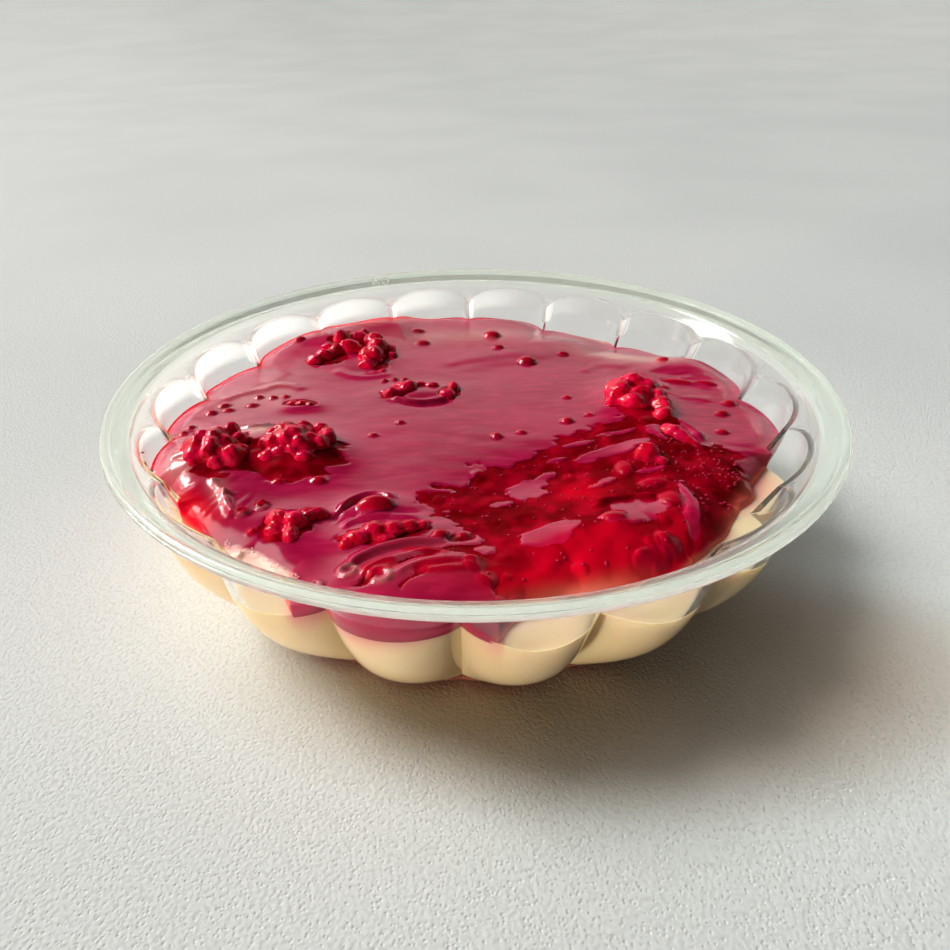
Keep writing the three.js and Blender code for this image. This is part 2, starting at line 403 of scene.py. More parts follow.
# Round the bead: its arc's change of radius, then from and to which angle in how many points. A fine groove
# marks where it meets the rim's slope.
BEAD_ARCS = [(0, -85, 12, 7), (-0.14, 20, 30, 2), (0, 38, 100, 5)]

# The rim from the bead inwards: in from its edge, and down from its top.
RIM_SLOPE = [(1.5, 0.25), (1.6, 0.55), (1.9, 0.48), (4.2, 1.85), (4.55, 2.3)]


def arc(centre_radius, centre_z, radius, start, end, steps):
    """Points of an arc in the section, from one angle to another in degrees."""
    angles = np.radians(np.linspace(start, end, steps))
    return [(centre_radius + radius * math.cos(a), centre_z + radius * math.sin(a)) for a in angles]


def dish_rows():
    """Each row gives a radius and a height at every step of the slice."""
    turns = FIRST_CREASE + np.linspace(1e-6, 2 * HALF_FLUTE - 1e-6, STEPS_IN_SLICE + 1)
    arch = arch_height(turns)
    level = np.ones_like(turns)

    def hoops(points):
        return [(radius * level, z * level) for radius, z in points]

    def wall(share, inset, bottom):
        z = bottom + (arch - bottom) * share
        return flute_radius(turns, z) - inset, z

    up = np.linspace(0, 1, ROWS_UP_WALL) ** 1.25
    rows = hoops((RECESS_RADIUS * share, RECESS_DEPTH) for share in (0.35, 0.7, 0.985))
    rows += hoops([(RECESS_RADIUS + 0.05, 0.12), (RECESS_RADIUS + 0.35, 0)])
    rows += hoops([(FOOT_RADIUS - 0.9, 0), (FOOT_RADIUS - 0.45, 0.12)])
    rows += [wall(share, 0, FOOT_HEIGHT * 0.5) for share in up]
    rows += [(flute_radius(turns, arch) + 0.28, arch + 0.1)]
    rows += hoops([(LOBE_TOP + 0.45, LOBE_HEIGHT + 0.25), (LOBE_TOP + 0.6, DISH_HEIGHT - 2.9)])
    rows += hoops([(LOBE_TOP + 1.1, DISH_HEIGHT - 2.45)])
    bead = (RIM_RADIUS - BEAD_RADIUS, DISH_HEIGHT - BEAD_RADIUS)
    for change, start, end, steps in BEAD_ARCS:
        rows += hoops(arc(*bead, BEAD_RADIUS + change, start, end, steps))
    rows += hoops((RIM_RADIUS - inwards, DISH_HEIGHT - down) for inwards, down in RIM_SLOPE)
    rows += hoops([(LOBE_TOP - WALL + 0.5, LOBE_HEIGHT + 0.35)])
    rows += [(flute_radius(turns, arch) - WALL + 0.32, arch + 0.16)]
    rows += [wall(share, WALL, FLOOR + 0.4) for share in up[::-1]]
    rows += [(flute_radius(turns, FLOOR * level) - WALL - 0.5, (FLOOR + 0.08) * level)]
    rows += [(flute_radius(turns, FLOOR * level) - WALL - 1.2, FLOOR * level)]
    rows += hoops((RECESS_RADIUS * share, FLOOR) for share in (0.8, 0.4))
    return turns, rows


def dish_slice(finish):
    turns, rows = dish_rows()
    points = []
    for radii, heights in rows:
        points += [(r * math.cos(t), r * math.sin(t), z) for r, z, t in zip(radii, heights, turns)]
    faces = strip(len(rows), len(turns), closed=False)
    middle_low, middle_high = len(points), len(points) + 1
    points += [(0, 0, RECESS_DEPTH), (0, 0, FLOOR)]
    last = (len(rows) - 1) * len(turns)
    for i in range(STEPS_IN_SLICE):
        faces.append((middle_low, i + 1, i))
        faces.append((middle_high, last + i, last + i + 1))
    return piece("clear_fluted_dish", points, faces, finish)


# %% [markdown]
# ## Geometry Nodes trees
#
# A tree gets named inputs, so the same tree serves several pieces. The result is turned into a plain mesh
# and the modifier goes, which leaves nothing live behind.

# %% Running a tree on an object


def new_tree(name, **kinds):
    """An empty tree with a geometry input and output, and one named input for each keyword."""
    tree = bpy.data.node_groups.new(name, "GeometryNodeTree")
    for in_out in ("INPUT", "OUTPUT"):
        tree.interface.new_socket("Geometry", in_out=in_out, socket_type="NodeSocketGeometry")
    for label, kind in kinds.items():
        tree.interface.new_socket(label, in_out="INPUT", socket_type="NodeSocket" + kind)
    entry = tree.nodes.new("NodeGroupInput")
    inputs = {socket.name: Wire(tree, socket) for socket in entry.outputs if socket.name}
    return tree, Wire(tree), inputs


def end_tree(tree, result, finish, **where):
    """Gives the result its material, or a selection of it, and makes it the tree's output."""
    sockets = {"Geometry": result, "Material": finish, **where}
    done = result.node("GeometryNodeSetMaterial", None, sockets)
    tree.links.new(done.socket, tree.nodes.new("NodeGroupOutput").inputs[0])
    return tree


def run_tree(made, tree, **values):
    """Sets the tree's inputs by identifier, evaluates it once and keeps the result as a plain mesh."""
    modifier = made.modifiers.new(tree.name, "NODES")
    modifier.node_group = tree
    for item in tree.interface.items_tree:
        if item.in_out == "INPUT" and item.name in values:
            modifier[item.identifier] = values[item.name]
    evaluated = made.evaluated_get(bpy.context.evaluated_depsgraph_get())
    mesh = bpy.data.meshes.new_from_object(evaluated)
    made.modifiers.remove(modifier)
    made.data = mesh
    return made


def slice_tree():
    """Turns copies of a slice round the axis and welds them. Outside a radius they get the rim's finish."""
    kinds = {"copies": "Int", "weld": "Float", "rim_from": "Float", "wall": "Material", "rim": "Material"}
    tree, wire, inputs = new_tree("turned_slices", **kinds)
    points = wire.node("GeometryNodePoints", None, {"Count": inputs["copies"]})
    angle = wire.node("GeometryNodeInputIndex") * (2 * math.pi) / inputs["copies"]
    turned = wire.node("ShaderNodeCombineXYZ", None, {"Z": angle})
    rotation = wire.node("FunctionNodeEulerToRotation", None, {"Euler": turned})
    sockets = {"Points": points, "Instance": inputs["Geometry"], "Rotation": rotation}
    slices = wire.node("GeometryNodeInstanceOnPoints", None, sockets)
    whole = wire.node("GeometryNodeRealizeInstances", None, {"Geometry": slices})
    welded = wire.node("GeometryNodeMergeByDistance", None, {"Geometry": whole, "Distance": inputs["weld"]})
    sockets = {"Vector": wire.node("GeometryNodeInputPosition"), "Vector_001": (1.0, 1.0, 0.0)}
    plan = wire.node("ShaderNodeVectorMath", {"operation": "MULTIPLY"}, sockets)
    radius = wire.node("ShaderNodeVectorMath", {"operation": "LENGTH"}, {"Vector": plan}, out=1)
    outside = wire.node("FunctionNodeCompare", None, {"A": radius, "B": inputs["rim_from"]})
    clear = wire.node("GeometryNodeSetMaterial", None, {"Geometry": welded, "Material": inputs["wall"]})
    return end_tree(tree, clear, inputs["rim"], Selection=outside)


# %% [markdown]
# The wall is clear with a faint green tint. The rim is thicker and a little milky. Above the food the wall
# is slightly hazy, and at the back each crease above the food is a pale line. At the foot the biscuit's brown
# is painted onto the clear material, a painted view of the biscuit seen through it. Lamp rays go straight
# through all of it, because a path tracer finds the bright spots behind curved glass too slowly. The Light
# Path node tells those rays apart.

# %% Clear finishes
HAZE_FROM, HAZE_FULL = 0.0262, 0.0285
CREASE_HAZE, CREASE_EDGE = 0.6, (0.93, 0.985)
ABOVE_FOOD, UNDER_ARCHES = (0.0222, 0.0232), (0.0266, 0.0274)
FOOT_PAINTED_VIEW, FOOT_TOP = 0.8, (0.0019, 0.0024)


def clear_finish(name, tint, milk, haze, roughness):
    """Clear material. Its milk is everywhere, and its haze only above the food."""
    material, wire, place = new_material(name)
    across, back, up = place.parts()
    height = up + 0.003 * back.step(-0.02, 0.01)
    turn = wire.math("ARCTAN2", back, across)
    in_crease = wire.math("COSINE", FLUTES * (turn - FIRST_CREASE)).step(*CREASE_EDGE)
    in_wall = up.step(*ABOVE_FOOD) * (1 - up.step(*UNDER_ARCHES)) * back.step(-0.01, 0.02)
    in_foot = 1 - up.step(*FOOT_TOP)

    def cover(share, shader, over):
        return wire.node("ShaderNodeMixShader", None, {"Fac": share, "Shader": shader, "Shader_001": over})

    surface = material.node_tree.nodes["Principled BSDF"]
    shader = Wire(material.node_tree, surface.outputs[0])
    veil = wire.node("ShaderNodeBsdfTranslucent", None, {"Color": colour(*tint)})
    hazy = haze * height.step(HAZE_FROM, HAZE_FULL) + CREASE_HAZE * in_crease * in_wall
    shader = cover(hazy, shader, veil)
    # Painted view through the glass: the biscuit's brown is painted onto the clear foot in place of the
    # biscuit seen through it.
    painted_biscuit_view = wire.node("ShaderNodeBsdfDiffuse", None, {"Color": colour(0.42, 0.13, 0.09)})
    shader = cover(FOOT_PAINTED_VIEW * in_foot, shader, painted_biscuit_view)
    lamp_ray = wire.node("ShaderNodeLightPath", out=1)
    through = wire.node("ShaderNodeBsdfTransparent", None, {"Color": colour(0.94, 0.95, 0.94)})
    shader = cover(lamp_ray, shader, through)
    wire.fill(material.node_tree.nodes["Material Output"], {"Surface": shader})
    return set_surface(
        material, Base_Color=colour(*tint), Roughness=roughness, IOR=1.35, Transmission_Weight=1 - milk
    )


CLEAR_WALL = clear_finish("clear_wall", (0.995, 1.0, 0.995), milk=0.01, haze=0.24, roughness=0.0)
CLEAR_RIM = clear_finish("clear_rim", (0.90, 0.975, 0.91), milk=0.10, haze=0.12, roughness=0.0)

# %% The whole dish
RIM_WIDTH = 4.15

dish = run_tree(
    dish_slice(CLEAR_WALL),
    slice_tree(),
    copies=FLUTES,
    weld=0.00001,
    rim_from=(RIM_RADIUS - RIM_WIDTH) * MM,
    wall=CLEAR_WALL,
    rim=CLEAR_RIM,
)
dish.data.set_sharp_from_angle(angle=math.radians(24))
describe(dish)

# %% [markdown]
# On the far part of the rim the mould has left a small raised mark: a ring and two short bars. Each is a
# closed band, so its section is four points that go round it.

# %% Mould mark
MARK_TURN = math.radians(106)
MARK_FROM_EDGE, MARK_DOWN, RIM_RISE = 2.95, 1.11, 0.6
MARK_RING = (1.05, 0.95)
MARK_BARS = [1.7, 3.0]
BAR_WIDTH, BAR_HALF_LENGTH = 0.5, 0.8

# The section of a band: how much of the outline's size is left, and the height over the rim.
BAND_SECTION = [(1.0, -0.1), (1.0, 0.14), (0.62, 0.14), (0.62, -0.1)]


def mould_mark():
    """Thin raised bands on the slope of the rim, laid out along it and across it."""
    around = np.linspace(0, 2 * math.pi, 33)[:-1]
    outlines = [[(MARK_RING[0] * math.cos(a), MARK_RING[1] * math.sin(a)) for a in around]]
    for start in MARK_BARS:
        end = start + BAR_WIDTH
        low, high = -BAR_HALF_LENGTH, BAR_HALF_LENGTH
        outlines.append([(start, low), (end, low), (end, high), (start, high)])
    points, faces = [], []
    for outline in outlines:
        first = len(points)
        count = len(outline)
        middle = np.mean(outline, axis=0)
        for share, lift in BAND_SECTION:
            for place in outline:
                along, across = middle + share * (np.array(place) - middle)
                radius = RIM_RADIUS - MARK_FROM_EDGE + across
                turn = MARK_TURN + along / RIM_RADIUS
                z = DISH_HEIGHT - MARK_DOWN + RIM_RISE * across + lift
                points.append((radius * math.cos(turn), radius * math.sin(turn), z))
        rows = len(BAND_SECTION)
        for row in range(rows):
            this, next_row = first + row * count, first + (row + 1) % rows * count
            for i in range(count):
                j = (i + 1) % count
                faces.append([next_row + i, next_row + j, this + j, this + i])
    finish = clear_finish("raised_mark", (0.80, 0.84, 0.80), milk=0.45, haze=0.0, roughness=0.1)
    return piece("mould_mark", points, faces, finish, sharp=30)


mark = mould_mark()
describe(mark)

# %% [markdown]
# ## The food's level against the glass
#
# Nothing in a hand-filled dish is level. Its height against the wall is read off every few degrees and
# joined smoothly. The filling and the topping both use it, so that they meet.

# %% Heights round the wall

# How far the food reaches into the wall, and how far it sinks in the middle of a flute.
REACH = 0.12
SINK = 1.2

# Degrees round from +X, and the height of the food there where it meets the creases.
FOOD_LEVELS = [
    (-174, 23.2), (-163, 22.6), (-154, 22.0), (-140, 21.2), (-124, 21.6), (-114, 23.2), (-104, 24.2),
    (-95, 23.0), (-86, 21.4), (-64, 20.8), (-44, 20.6), (-24, 21.0), (-14, 22.1), (-4, 22.3), (6, 22.6),
    (16, 23.2), (26, 23.4), (33, 21.3), (38, 20.6), (46, 20.4), (56, 20.2), (66, 20.8), (72, 22.2),
    (86, 22.5), (97, 22.3), (104, 24.0), (116, 24.3), (128, 24.4), (138, 23.2), (146, 22.0), (157, 22.1),
    (166, 22.5), (176, 22.4),
]


def food_level(turn, sink=1.0):
    """Height of the food at the wall. It sinks a little into each flute, except where it stands highest."""
    degrees = np.degrees(turn)
    known = np.array(FOOD_LEVELS)
    total = 0.0
    for offset in (-3, -1, 1, 3):
        total = total + np.interp(degrees + offset, known[:, 0], known[:, 1], period=360)
    sunk = from_crease(turn) ** 1.5
    kept = np.exp(-(((degrees + 104) / 12) ** 4))
    return total / 4 - SINK * sink * sunk * (1 - kept)


def inner_radius(turn, z):
    """Just inside the material of the wall, so that no air shows between it and the food."""
    return flute_radius(turn, z) - WALL + REACH


def spread(x, y, at, size, turn=0.0):
    """Squared distance from a place, counted in the half widths of an ellipse."""
    angle = math.radians(turn)
    dx = x - at[0]
    dy = y - at[1]
    along = dx * math.cos(angle) + dy * math.sin(angle)
    across = dy * math.cos(angle) - dx * math.sin(angle)
    return (along / size[0]) ** 2 + (across / size[1]) ** 2


def mound(x, y, at, size, turn=0.0):
    """1 at its middle and falling smoothly away, over an ellipse of the half widths."""
    return np.exp(-spread(x, y, at, size, turn))


def mounds(x, y, *listed):
    """Sum of mounds, each given by its weight, place, half widths and turn."""
    return sum(weight * mound(x, y, at, size, turn) for weight, at, size, turn in listed)


def smooth_step(value, low, high):
    share = np.clip((value - low) / (high - low), 0, 1)
    return share * share * (3 - 2 * share)


def waviness(x, y, size, seed, stretch=1.0):
    """Even, seeded unevenness of about 1 each way: plane waves of like lengths in all directions."""
    generator = np.random.default_rng(seed)
    waves = 16
    total = 0.0
    for _ in range(waves):
        heading, phase = generator.uniform(0, 2 * np.pi, 2)
        length = size * generator.uniform(0.7, 1.6)
        along = x / stretch * np.cos(heading) + y * np.sin(heading)
        total = total + np.sin(2 * np.pi * along / length + phase)
    return total * math.sqrt(2 / waves)


# %% [markdown]
# ## The biscuit base
#
# Pressed crumbs, dark with juice. It only shows as a thin strip low in each crease, where the filling
# doesn't reach down past it. Its edge is uneven, as crumbs leave it.

# %% Biscuit
BELOW_FLOOR = 0.05


def biscuit_finish():
    material, _, place = new_material("biscuit")
    crumbs = place.cells(900.0)
    crumb = crumbs.step(0.1, 0.7).blend(colour(0.36, 0.15, 0.10), colour(0.24, 0.07, 0.045))
    stained = place.noise(260.0, 3.0).step(0.4, 0.62).blend(crumb, colour(0.36, 0.07, 0.06))
    return set_surface(material, Base_Color=stained, Roughness=0.55, Normal=crumbs.bump(0.6, 0.0003))


def skirt_bottom(turn):
    """How far down the filling goes past the biscuit's edge: nearly to the floor, least in a crease."""
    return FLOOR + 0.5 - 0.3 * from_crease(turn) ** 2


ROUND = 720
MIDDLE_RING = 40
TURNS = np.linspace(-math.pi, math.pi, ROUND, endpoint=False)


def ring(radius, z):
    radius = radius * np.ones(ROUND)
    z = z * np.ones(ROUND)
    return np.stack([radius * np.cos(TURNS), radius * np.sin(TURNS), z], -1)


def body_of_rings(name, rings, start_z, end_z, finish, sharp=None):
    """A closed body from rings that go out and over it, with a point on the axis at each end."""
    points = np.concatenate([*rings, [(0, 0, start_z), (0, 0, end_z)]])
    faces = strip(len(rings), ROUND)
    start = len(points) - 2
    last = (len(rings) - 1) * ROUND
    for i in range(ROUND):
        following = (i + 1) % ROUND
        faces.append((start, following, i))
        faces.append((start + 1, last + i, last + following))
    return piece(name, points, faces, finish, sharp)


def biscuit():
    side = []
    for share in np.linspace(0, 1, 8):
        z = FLOOR - BELOW_FLOOR + (BISCUIT_TOP - FLOOR) * share
        crumbs = 0.12 * waviness(TURNS * 50, z * 3, 3.0, 11)
        inside = 1.8 * np.maximum(from_crease(TURNS) ** 4, smooth_step(z, FLOOR + 0.2, FLOOR + 0.6))
        side.append(ring(inner_radius(TURNS, z) - inside + np.minimum(crumbs, 0), z))
    low = FLOOR - BELOW_FLOOR
    high = BISCUIT_TOP - BELOW_FLOOR
    rings = [ring(MIDDLE_RING, low), *side, ring(MIDDLE_RING, high)]
    return body_of_rings("pressed_biscuit", rings, low, high, biscuit_finish(), sharp=50)


biscuit_layer = biscuit()
describe(biscuit_layer)

# %% [markdown]
# ## The filling
#
# Smooth set cream cheese. Against the glass it takes the shape of the flutes, and there it reaches a
# little into the wall. Where the topping lies on it, juice has stained it pink. Light goes some way into
# it, so subsurface scattering softens its shading.

# %% Filling
CREAM_EDGE = 20.6
CREAM_DIP = 2.4
OVER_BISCUIT = 0.06


def cream_level(turn, sink=1.0):
    """Top of the filling against the glass: higher in front, where the sauce leaves it bare."""
    degrees = np.degrees(turn)
    front = np.exp(-(((degrees + 88) / 72) ** 6))
    edge = 18.9 + 1.6 * front + 0.35 * np.sin(3 * turn) + 0.25 * np.sin(7 * turn + 1)
    crescent = np.exp(-(((degrees + 104) / 10) ** 4))
    return np.minimum(food_level(turn, sink) - 0.2, edge + 0.9 * crescent)


def cream_top(x, y):
    turn = np.arctan2(y, x)
    share = np.hypot(x, y) / inner_radius(turn, 21.0)
    edge = cream_level(turn, smooth_step(share, 0.93, 0.995))
    rise = smooth_step(share, 0.72, 0.985)
    return edge * rise + (np.minimum(edge, CREAM_EDGE) - CREAM_DIP) * (1 - rise)


def cream_finish():
    material, wire, place = new_material("cream_cheese")
    stain_and_shade, foam = wire.attribute("stain_and_shade"), wire.attribute("foam")
    clouds = place.noise(90.0, 2.0)
    cream = clouds.step(0.35, 0.7).blend(colour(0.84, 0.67, 0.40), colour(0.86, 0.70, 0.46))
    # The kept pink is juice stain, and at the right front also painted shade.
    pinked = (stain_and_shade * (0.7 + 0.6 * clouds)).step(0.0, 1.0).blend(cream, colour(0.78, 0.33, 0.27))
    pinked = (foam * (0.5 + clouds)).step(0.35, 0.85).blend(pinked, colour(0.90, 0.62, 0.56))
    return set_surface(
        material, Base_Color=pinked, Roughness=0.38, Normal=place.noise(700.0, 1.0).bump(0.12),
        Subsurface_Weight=0.6, Subsurface_Radius=(1.0, 0.6, 0.25), Subsurface_Scale=0.003,
    )


def filling():
    bottom = skirt_bottom(TURNS)
    top = cream_level(TURNS)
    rings = [ring(MIDDLE_RING, BISCUIT_TOP - OVER_BISCUIT), ring(inner_radius(TURNS, 3.0) - 2.6, bottom)]
    for share in np.linspace(0, 1, 34) ** 1.1:
        z = bottom + (top - bottom) * share
        rings.append(ring(inner_radius(TURNS, z), z))
    for share in (0.9975, 0.99, *np.linspace(0.98, 0.04, 46)):
        radius = inner_radius(TURNS, top) * share
        x = radius * np.cos(TURNS)
        y = radius * np.sin(TURNS)
        rings.append(ring(radius, cream_top(x, y) - 0.12 * (1 - share)))
    centre = float(cream_top(np.array([0.0]), np.array([0.0]))[0])
    start = BISCUIT_TOP - OVER_BISCUIT
    return body_of_rings("cream_filling", rings, start, centre, cream_finish(), sharp=60)


cream = filling()
describe(cream)

# %% [markdown]
# ## The topping
#
# Crushed raspberries in their sauce. Most of it carries a smooth, slightly dull skin. Towards the right the
# skin is broken and dark juice shows, with seeds and drupelets in it. The relief is one height over the
# plan: a base level, swells, lumps of fruit with round tops, and folds of the skin.

# %% Where things lie in the topping

# Swells: place, half widths, turn in degrees, height.
SWELLS = [
    ((-47.0, -11.5), (8.2, 7.4), 0, 3.2), ((-31.5, -10.5), (8.2, 7.4), 0, 3.2),
    ((-39, -5), (4.2, 3.6), 0, 1.2), ((-25, 35), (11, 9), 0, 1.0), ((33.5, 5), (6.5, 9), 0, 2.4),
    ((-9, 13.5), (8, 4), 0, 0.7), ((-9, -46.5), (12, 7.5), 8, 2.2), ((21, -38), (12, 8), 12, 2.3),
    ((32, -34), (4, 12), -10, 1.0), ((41, -20), (7, 8), 0, 0.5), ((12, -21), (14, 8), 15, -0.9),
    ((-31, -33), (5, 5), 0, 0.8), ((-17, -28.5), (5, 2.6), 8, 1.2), ((-14, -36), (9, 3.4), 8, 0.9),
    ((48, 22), (9, 7), -20, 0.45), ((37, -9), (6, 4), -40, 1.0), ((31, -14), (3.5, 4), 0, 1.1),
    ((-33, 9), (5, 3), 0, 0.7), ((-47, -26), (3.5, 7), 30, 0.6), ((18, 34), (22, 5), 6, 0.3),
    ((8, 28), (14, 3.0), 14, 0.2),
]

# Lumps: drupelets and bits of fruit, each with its place, half widths, turn and height.
LUMPS = [
    ((-12.8, 0.3), (0.9, 0.8), 0, 0.6), ((-17.8, -4.3), (0.9, 0.9), 0, 0.5),
    ((5.4, -5.8), (1.1, 1.0), 0, 0.8), ((10.2, -4.7), (0.9, 0.9), 0, 0.6),
    ((19.4, -1.1), (1.3, 1.1), 20, 0.9), ((23.9, 0.7), (0.8, 0.7), 0, 0.5),
    ((21.0, 8.9), (0.9, 0.8), 0, 0.6), ((-33.3, -20.3), (1.1, 0.9), 0, 0.6),
    ((-26.4, -20.2), (1.5, 1.1), 0, 0.9), ((-35.0, -26.6), (1.1, 0.9), 0, 0.8),
    ((-38.0, -28.5), (0.9, 0.9), 0, 0.7), ((15.2, 27.0), (2.1, 1.9), 0, 1.4),
    ((8.6, 43.0), (2.2, 2.0), 0, 1.5), ((9.4, 35.0), (1.4, 1.2), 0, 0.9),
    ((23.8, 30.7), (1.4, 1.0), 0, 0.8), ((44.7, 24.8), (1.5, 1.4), 0, 1.0),
    ((-8.0, 40.0), (1.8, 1.5), 0, 1.0), ((-9.0, 47.5), (1.6, 1.0), 0, 0.7),
    ((-37.6, 41.0), (1.6, 1.5), 0, 1.1), ((49.7, 0.0), (1.4, 1.0), 10, 0.9),
    ((47.4, -7.0), (1.1, 1.0), 0, 0.7), ((52.4, 4.0), (1.4, 1.2), 0, 0.9),
    ((-51.0, 7.0), (1.2, 1.1), 0, 0.8), ((-49.0, 10.0), (1.3, 0.9), 20, 0.7),
    ((-42.5, 13.5), (1.0, 1.0), 0, 0.7), ((-39.5, 13.0), (1.0, 0.9), 0, 0.7),
    ((-43.3, 9.8), (1.2, 0.9), 0, 0.6), ((-37.0, 13.2), (1.0, 0.9), 0, 0.6),
    ((-47.8, 8.0), (1.2, 0.8), 0, 0.6), ((-54.0, -3.0), (1.3, 1.2), 0, 0.9),
    ((-53.5, 0.5), (1.0, 1.0), 0, 0.7), ((-27.0, -30.2), (1.9, 1.6), 10, 1.6),
    ((-16.2, -28.8), (3.2, 1.8), 10, 1.5), ((-6.0, -37.5), (1.5, 1.2), 0, 1.2),
    ((-2.6, -37.6), (1.1, 0.9), 0, 0.8), ((-35.6, -33.6), (0.9, 0.9), 0, 0.6),
    ((-15.0, -46.0), (3.0, 2.2), 30, 0.35), ((-8.6, -41.8), (4.0, 1.5), -14, 0.3),
    ((-6.0, -46.4), (4.6, 1.7), 8, 0.3), ((-1.5, -45.4), (1.6, 2.0), 0, 0.6),
    ((0.2, -48.2), (1.5, 1.4), 0, 0.5), ((26.4, -18.4), (1.6, 2.4), 0, 1.0),
    ((29.6, -24.0), (2.4, 2.0), 0, 1.2), ((20.6, -35.4), (2.2, 1.5), 10, 0.7),
    ((27.6, -40.8), (2.2, 2.6), 0, 1.0), ((30.8, -30.0), (2.0, 2.6), -10, 1.3),
    ((24.4, -44.0), (3.2, 2.0), 20, 0.9), ((-17.0, 24.6), (0.9, 0.9), 0, 0.6),
    ((-16.5, 19.6), (0.8, 0.8), 0, 0.7), ((-14.2, 20.2), (0.8, 0.8), 0, 0.7),
    ((-12.1, 20.2), (0.8, 0.8), 0, 0.6), ((41.5, 11.0), (1.0, 0.8), 0, 0.5),
    ((45.0, 14.0), (3.0, 0.9), -20, 0.5), ((50.5, 12.5), (2.2, 0.9), -25, 0.6),
]

# Folds of the skin: three points of a curve, width, height. A negative height is a crease.
FOLDS = [
    ((-22.5, -31.5), (-18.5, -25.2), (-12.5, -27.0), 0.7, 0.9),
    ((-23.6, -33.0), (-19.0, -27.3), (-14.0, -27.6), 0.45, -0.6),
    ((-20.0, -45.0), (-14.0, -39.6), (-4.0, -39.2), 0.7, 0.6),
    ((-20.0, -46.6), (-14.0, -41.2), (-5.0, -40.4), 0.45, -0.5),
    ((-18.0, -48.0), (-12.0, -43.2), (-2.0, -42.6), 0.7, 0.5),
    ((-13.0, -49.5), (-8.0, -44.8), (1.0, -44.6), 0.6, 0.4),
    ((-21.5, -34.5), (-17.0, -31.5), (-8.0, -32.4), 0.6, 0.5),
    ((31.5, -23.0), (34.5, -32.0), (33.0, -44.0), 1.0, 0.7),
    ((29.6, -29.0), (31.8, -35.0), (31.0, -43.0), 0.6, -0.3),
    ((33.6, -22.5), (36.6, -31.0), (35.4, -40.0), 0.8, 0.3),
    ((18.0, -31.5), (24.0, -28.6), (30.0, -29.2), 0.7, 0.9),
    ((36.0, -3.0), (40.6, -5.0), (42.4, -11.5), 0.8, 1.0),
    ((-4.0, 27.0), (6.0, 31.0), (18.0, 32.5), 1.8, 0.13),
    ((-6.0, 24.5), (4.0, 27.0), (15.0, 29.5), 1.6, -0.07),
    ((26.0, 20.0), (31.0, 24.5), (37.0, 22.0), 1.6, 0.2),
    ((37.0, 22.0), (40.0, 16.0), (41.0, 8.0), 1.5, 0.24),
    ((41.0, 17.0), (46.0, 14.0), (52.0, 11.5), 1.4, 0.15),
    ((38.0, 12.0), (44.0, 7.5), (50.0, 6.0), 1.3, 0.18),
    ((-44.0, -2.0), (-40.0, -3.0), (-37.5, 1.0), 0.8, 0.9),
    ((-42.0, 17.5), (-38.0, 19.0), (-33.0, 16.0), 1.2, 0.25),
    ((-50.0, 12.0), (-46.0, 16.0), (-40.0, 17.5), 1.2, 0.25),
    ((-28.0, 26.0), (-22.0, 22.0), (-14.0, 24.0), 1.2, 0.2),
    ((-15.5, 11.5), (-9.0, 8.4), (-2.5, 10.8), 0.7, 0.7),
    ((-14.5, 10.2), (-8.0, 7.2), (-2.0, 9.4), 0.45, -0.4),
    ((-42.5, -22.0), (-41.0, -26.0), (-39.0, -29.5), 0.8, 0.9),
    ((-45.0, -19.0), (-43.0, -22.0), (-40.0, -23.5), 0.6, 0.6),
]

# Crumpled places: place, half widths, turn of the folds in degrees, width of a fold, height.
CRUMPLED = [
    ((-9.5, -44.5), (12, 6.5), 16, 3.0, 0.32), ((33.5, -33), (4.2, 11), 80, 2.4, 0.3),
    ((-42.0, -25.5), (3.2, 5.5), 62, 1.2, 0.4), ((-15.5, -30.5), (7.5, 3.2), 12, 2.2, 0.4),
    ((-49.5, -14.5), (5.0, 6.5), 35, 1.3, 0.6), ((44, 12), (9, 9), -20, 3.4, 0.16),
]

# Burst bubbles, which leave a small raised ring: place and radius.
RINGS = [
    ((-19.5, -46.0), 1.2), ((-14.7, -48.2), 1.35), ((-23.9, -48.4), 0.8), ((-38.0, -28.6), 0.8),
    ((-35.0, -27.4), 0.7),
]

# Outline of the broken, wet part.
WET_OUTLINE = [
    (-10.1, -23.6), (-6.4, -22.7), (-2.0, -23.0), (0.0, -20.0), (0.8, -16.3), (6.9, -15.6), (10.8, -14.7),
    (14.7, -11.3), (15.8, -6.9), (22.4, -4.9), (23.0, -3.4), (28.6, -3.3), (33.6, -0.2), (38.6, -3.6),
    (41.5, -12.5), (46.0, -11.0), (47.0, -16.0), (46.0, -24.0), (44.0, -30.0), (38.0, -38.5), (30.5, -45.0),
    (23.5, -49.3), (9.0, -51.0), (1.0, -51.0), (1.9, -44.7), (0.2, -38.0), (-6.4, -30.2), (-9.8, -26.9),
]

# Islands of skin that are left in the wet part: place, half widths and turn.
ISLANDS = [
    ((8.4, -23.4), (4.4, 2.8), 35), ((25.6, -12.6), (8.2, 1.7), 17), ((10.6, -38.2), (5.6, 2.6), 14),
    ((24.6, -33.6), (6.4, 3.2), 24), ((33.2, -32.0), (1.3, 8.0), -9), ((37.2, -8.8), (4.4, 3.0), -30),
    ((12.8, -19.0), (2.6, 0.9), 30), ((21.6, -22.6), (3.6, 0.8), 32), ((20.0, -9.6), (3.6, 0.7), 15),
    ((28.0, -6.6), (4.0, 0.7), 10), ((15.2, -14.4), (2.4, 0.6), 20), ((3.8, -28.0), (2.6, 0.8), 20),
    ((30.6, -19.4), (2.6, 0.8), 10),
]

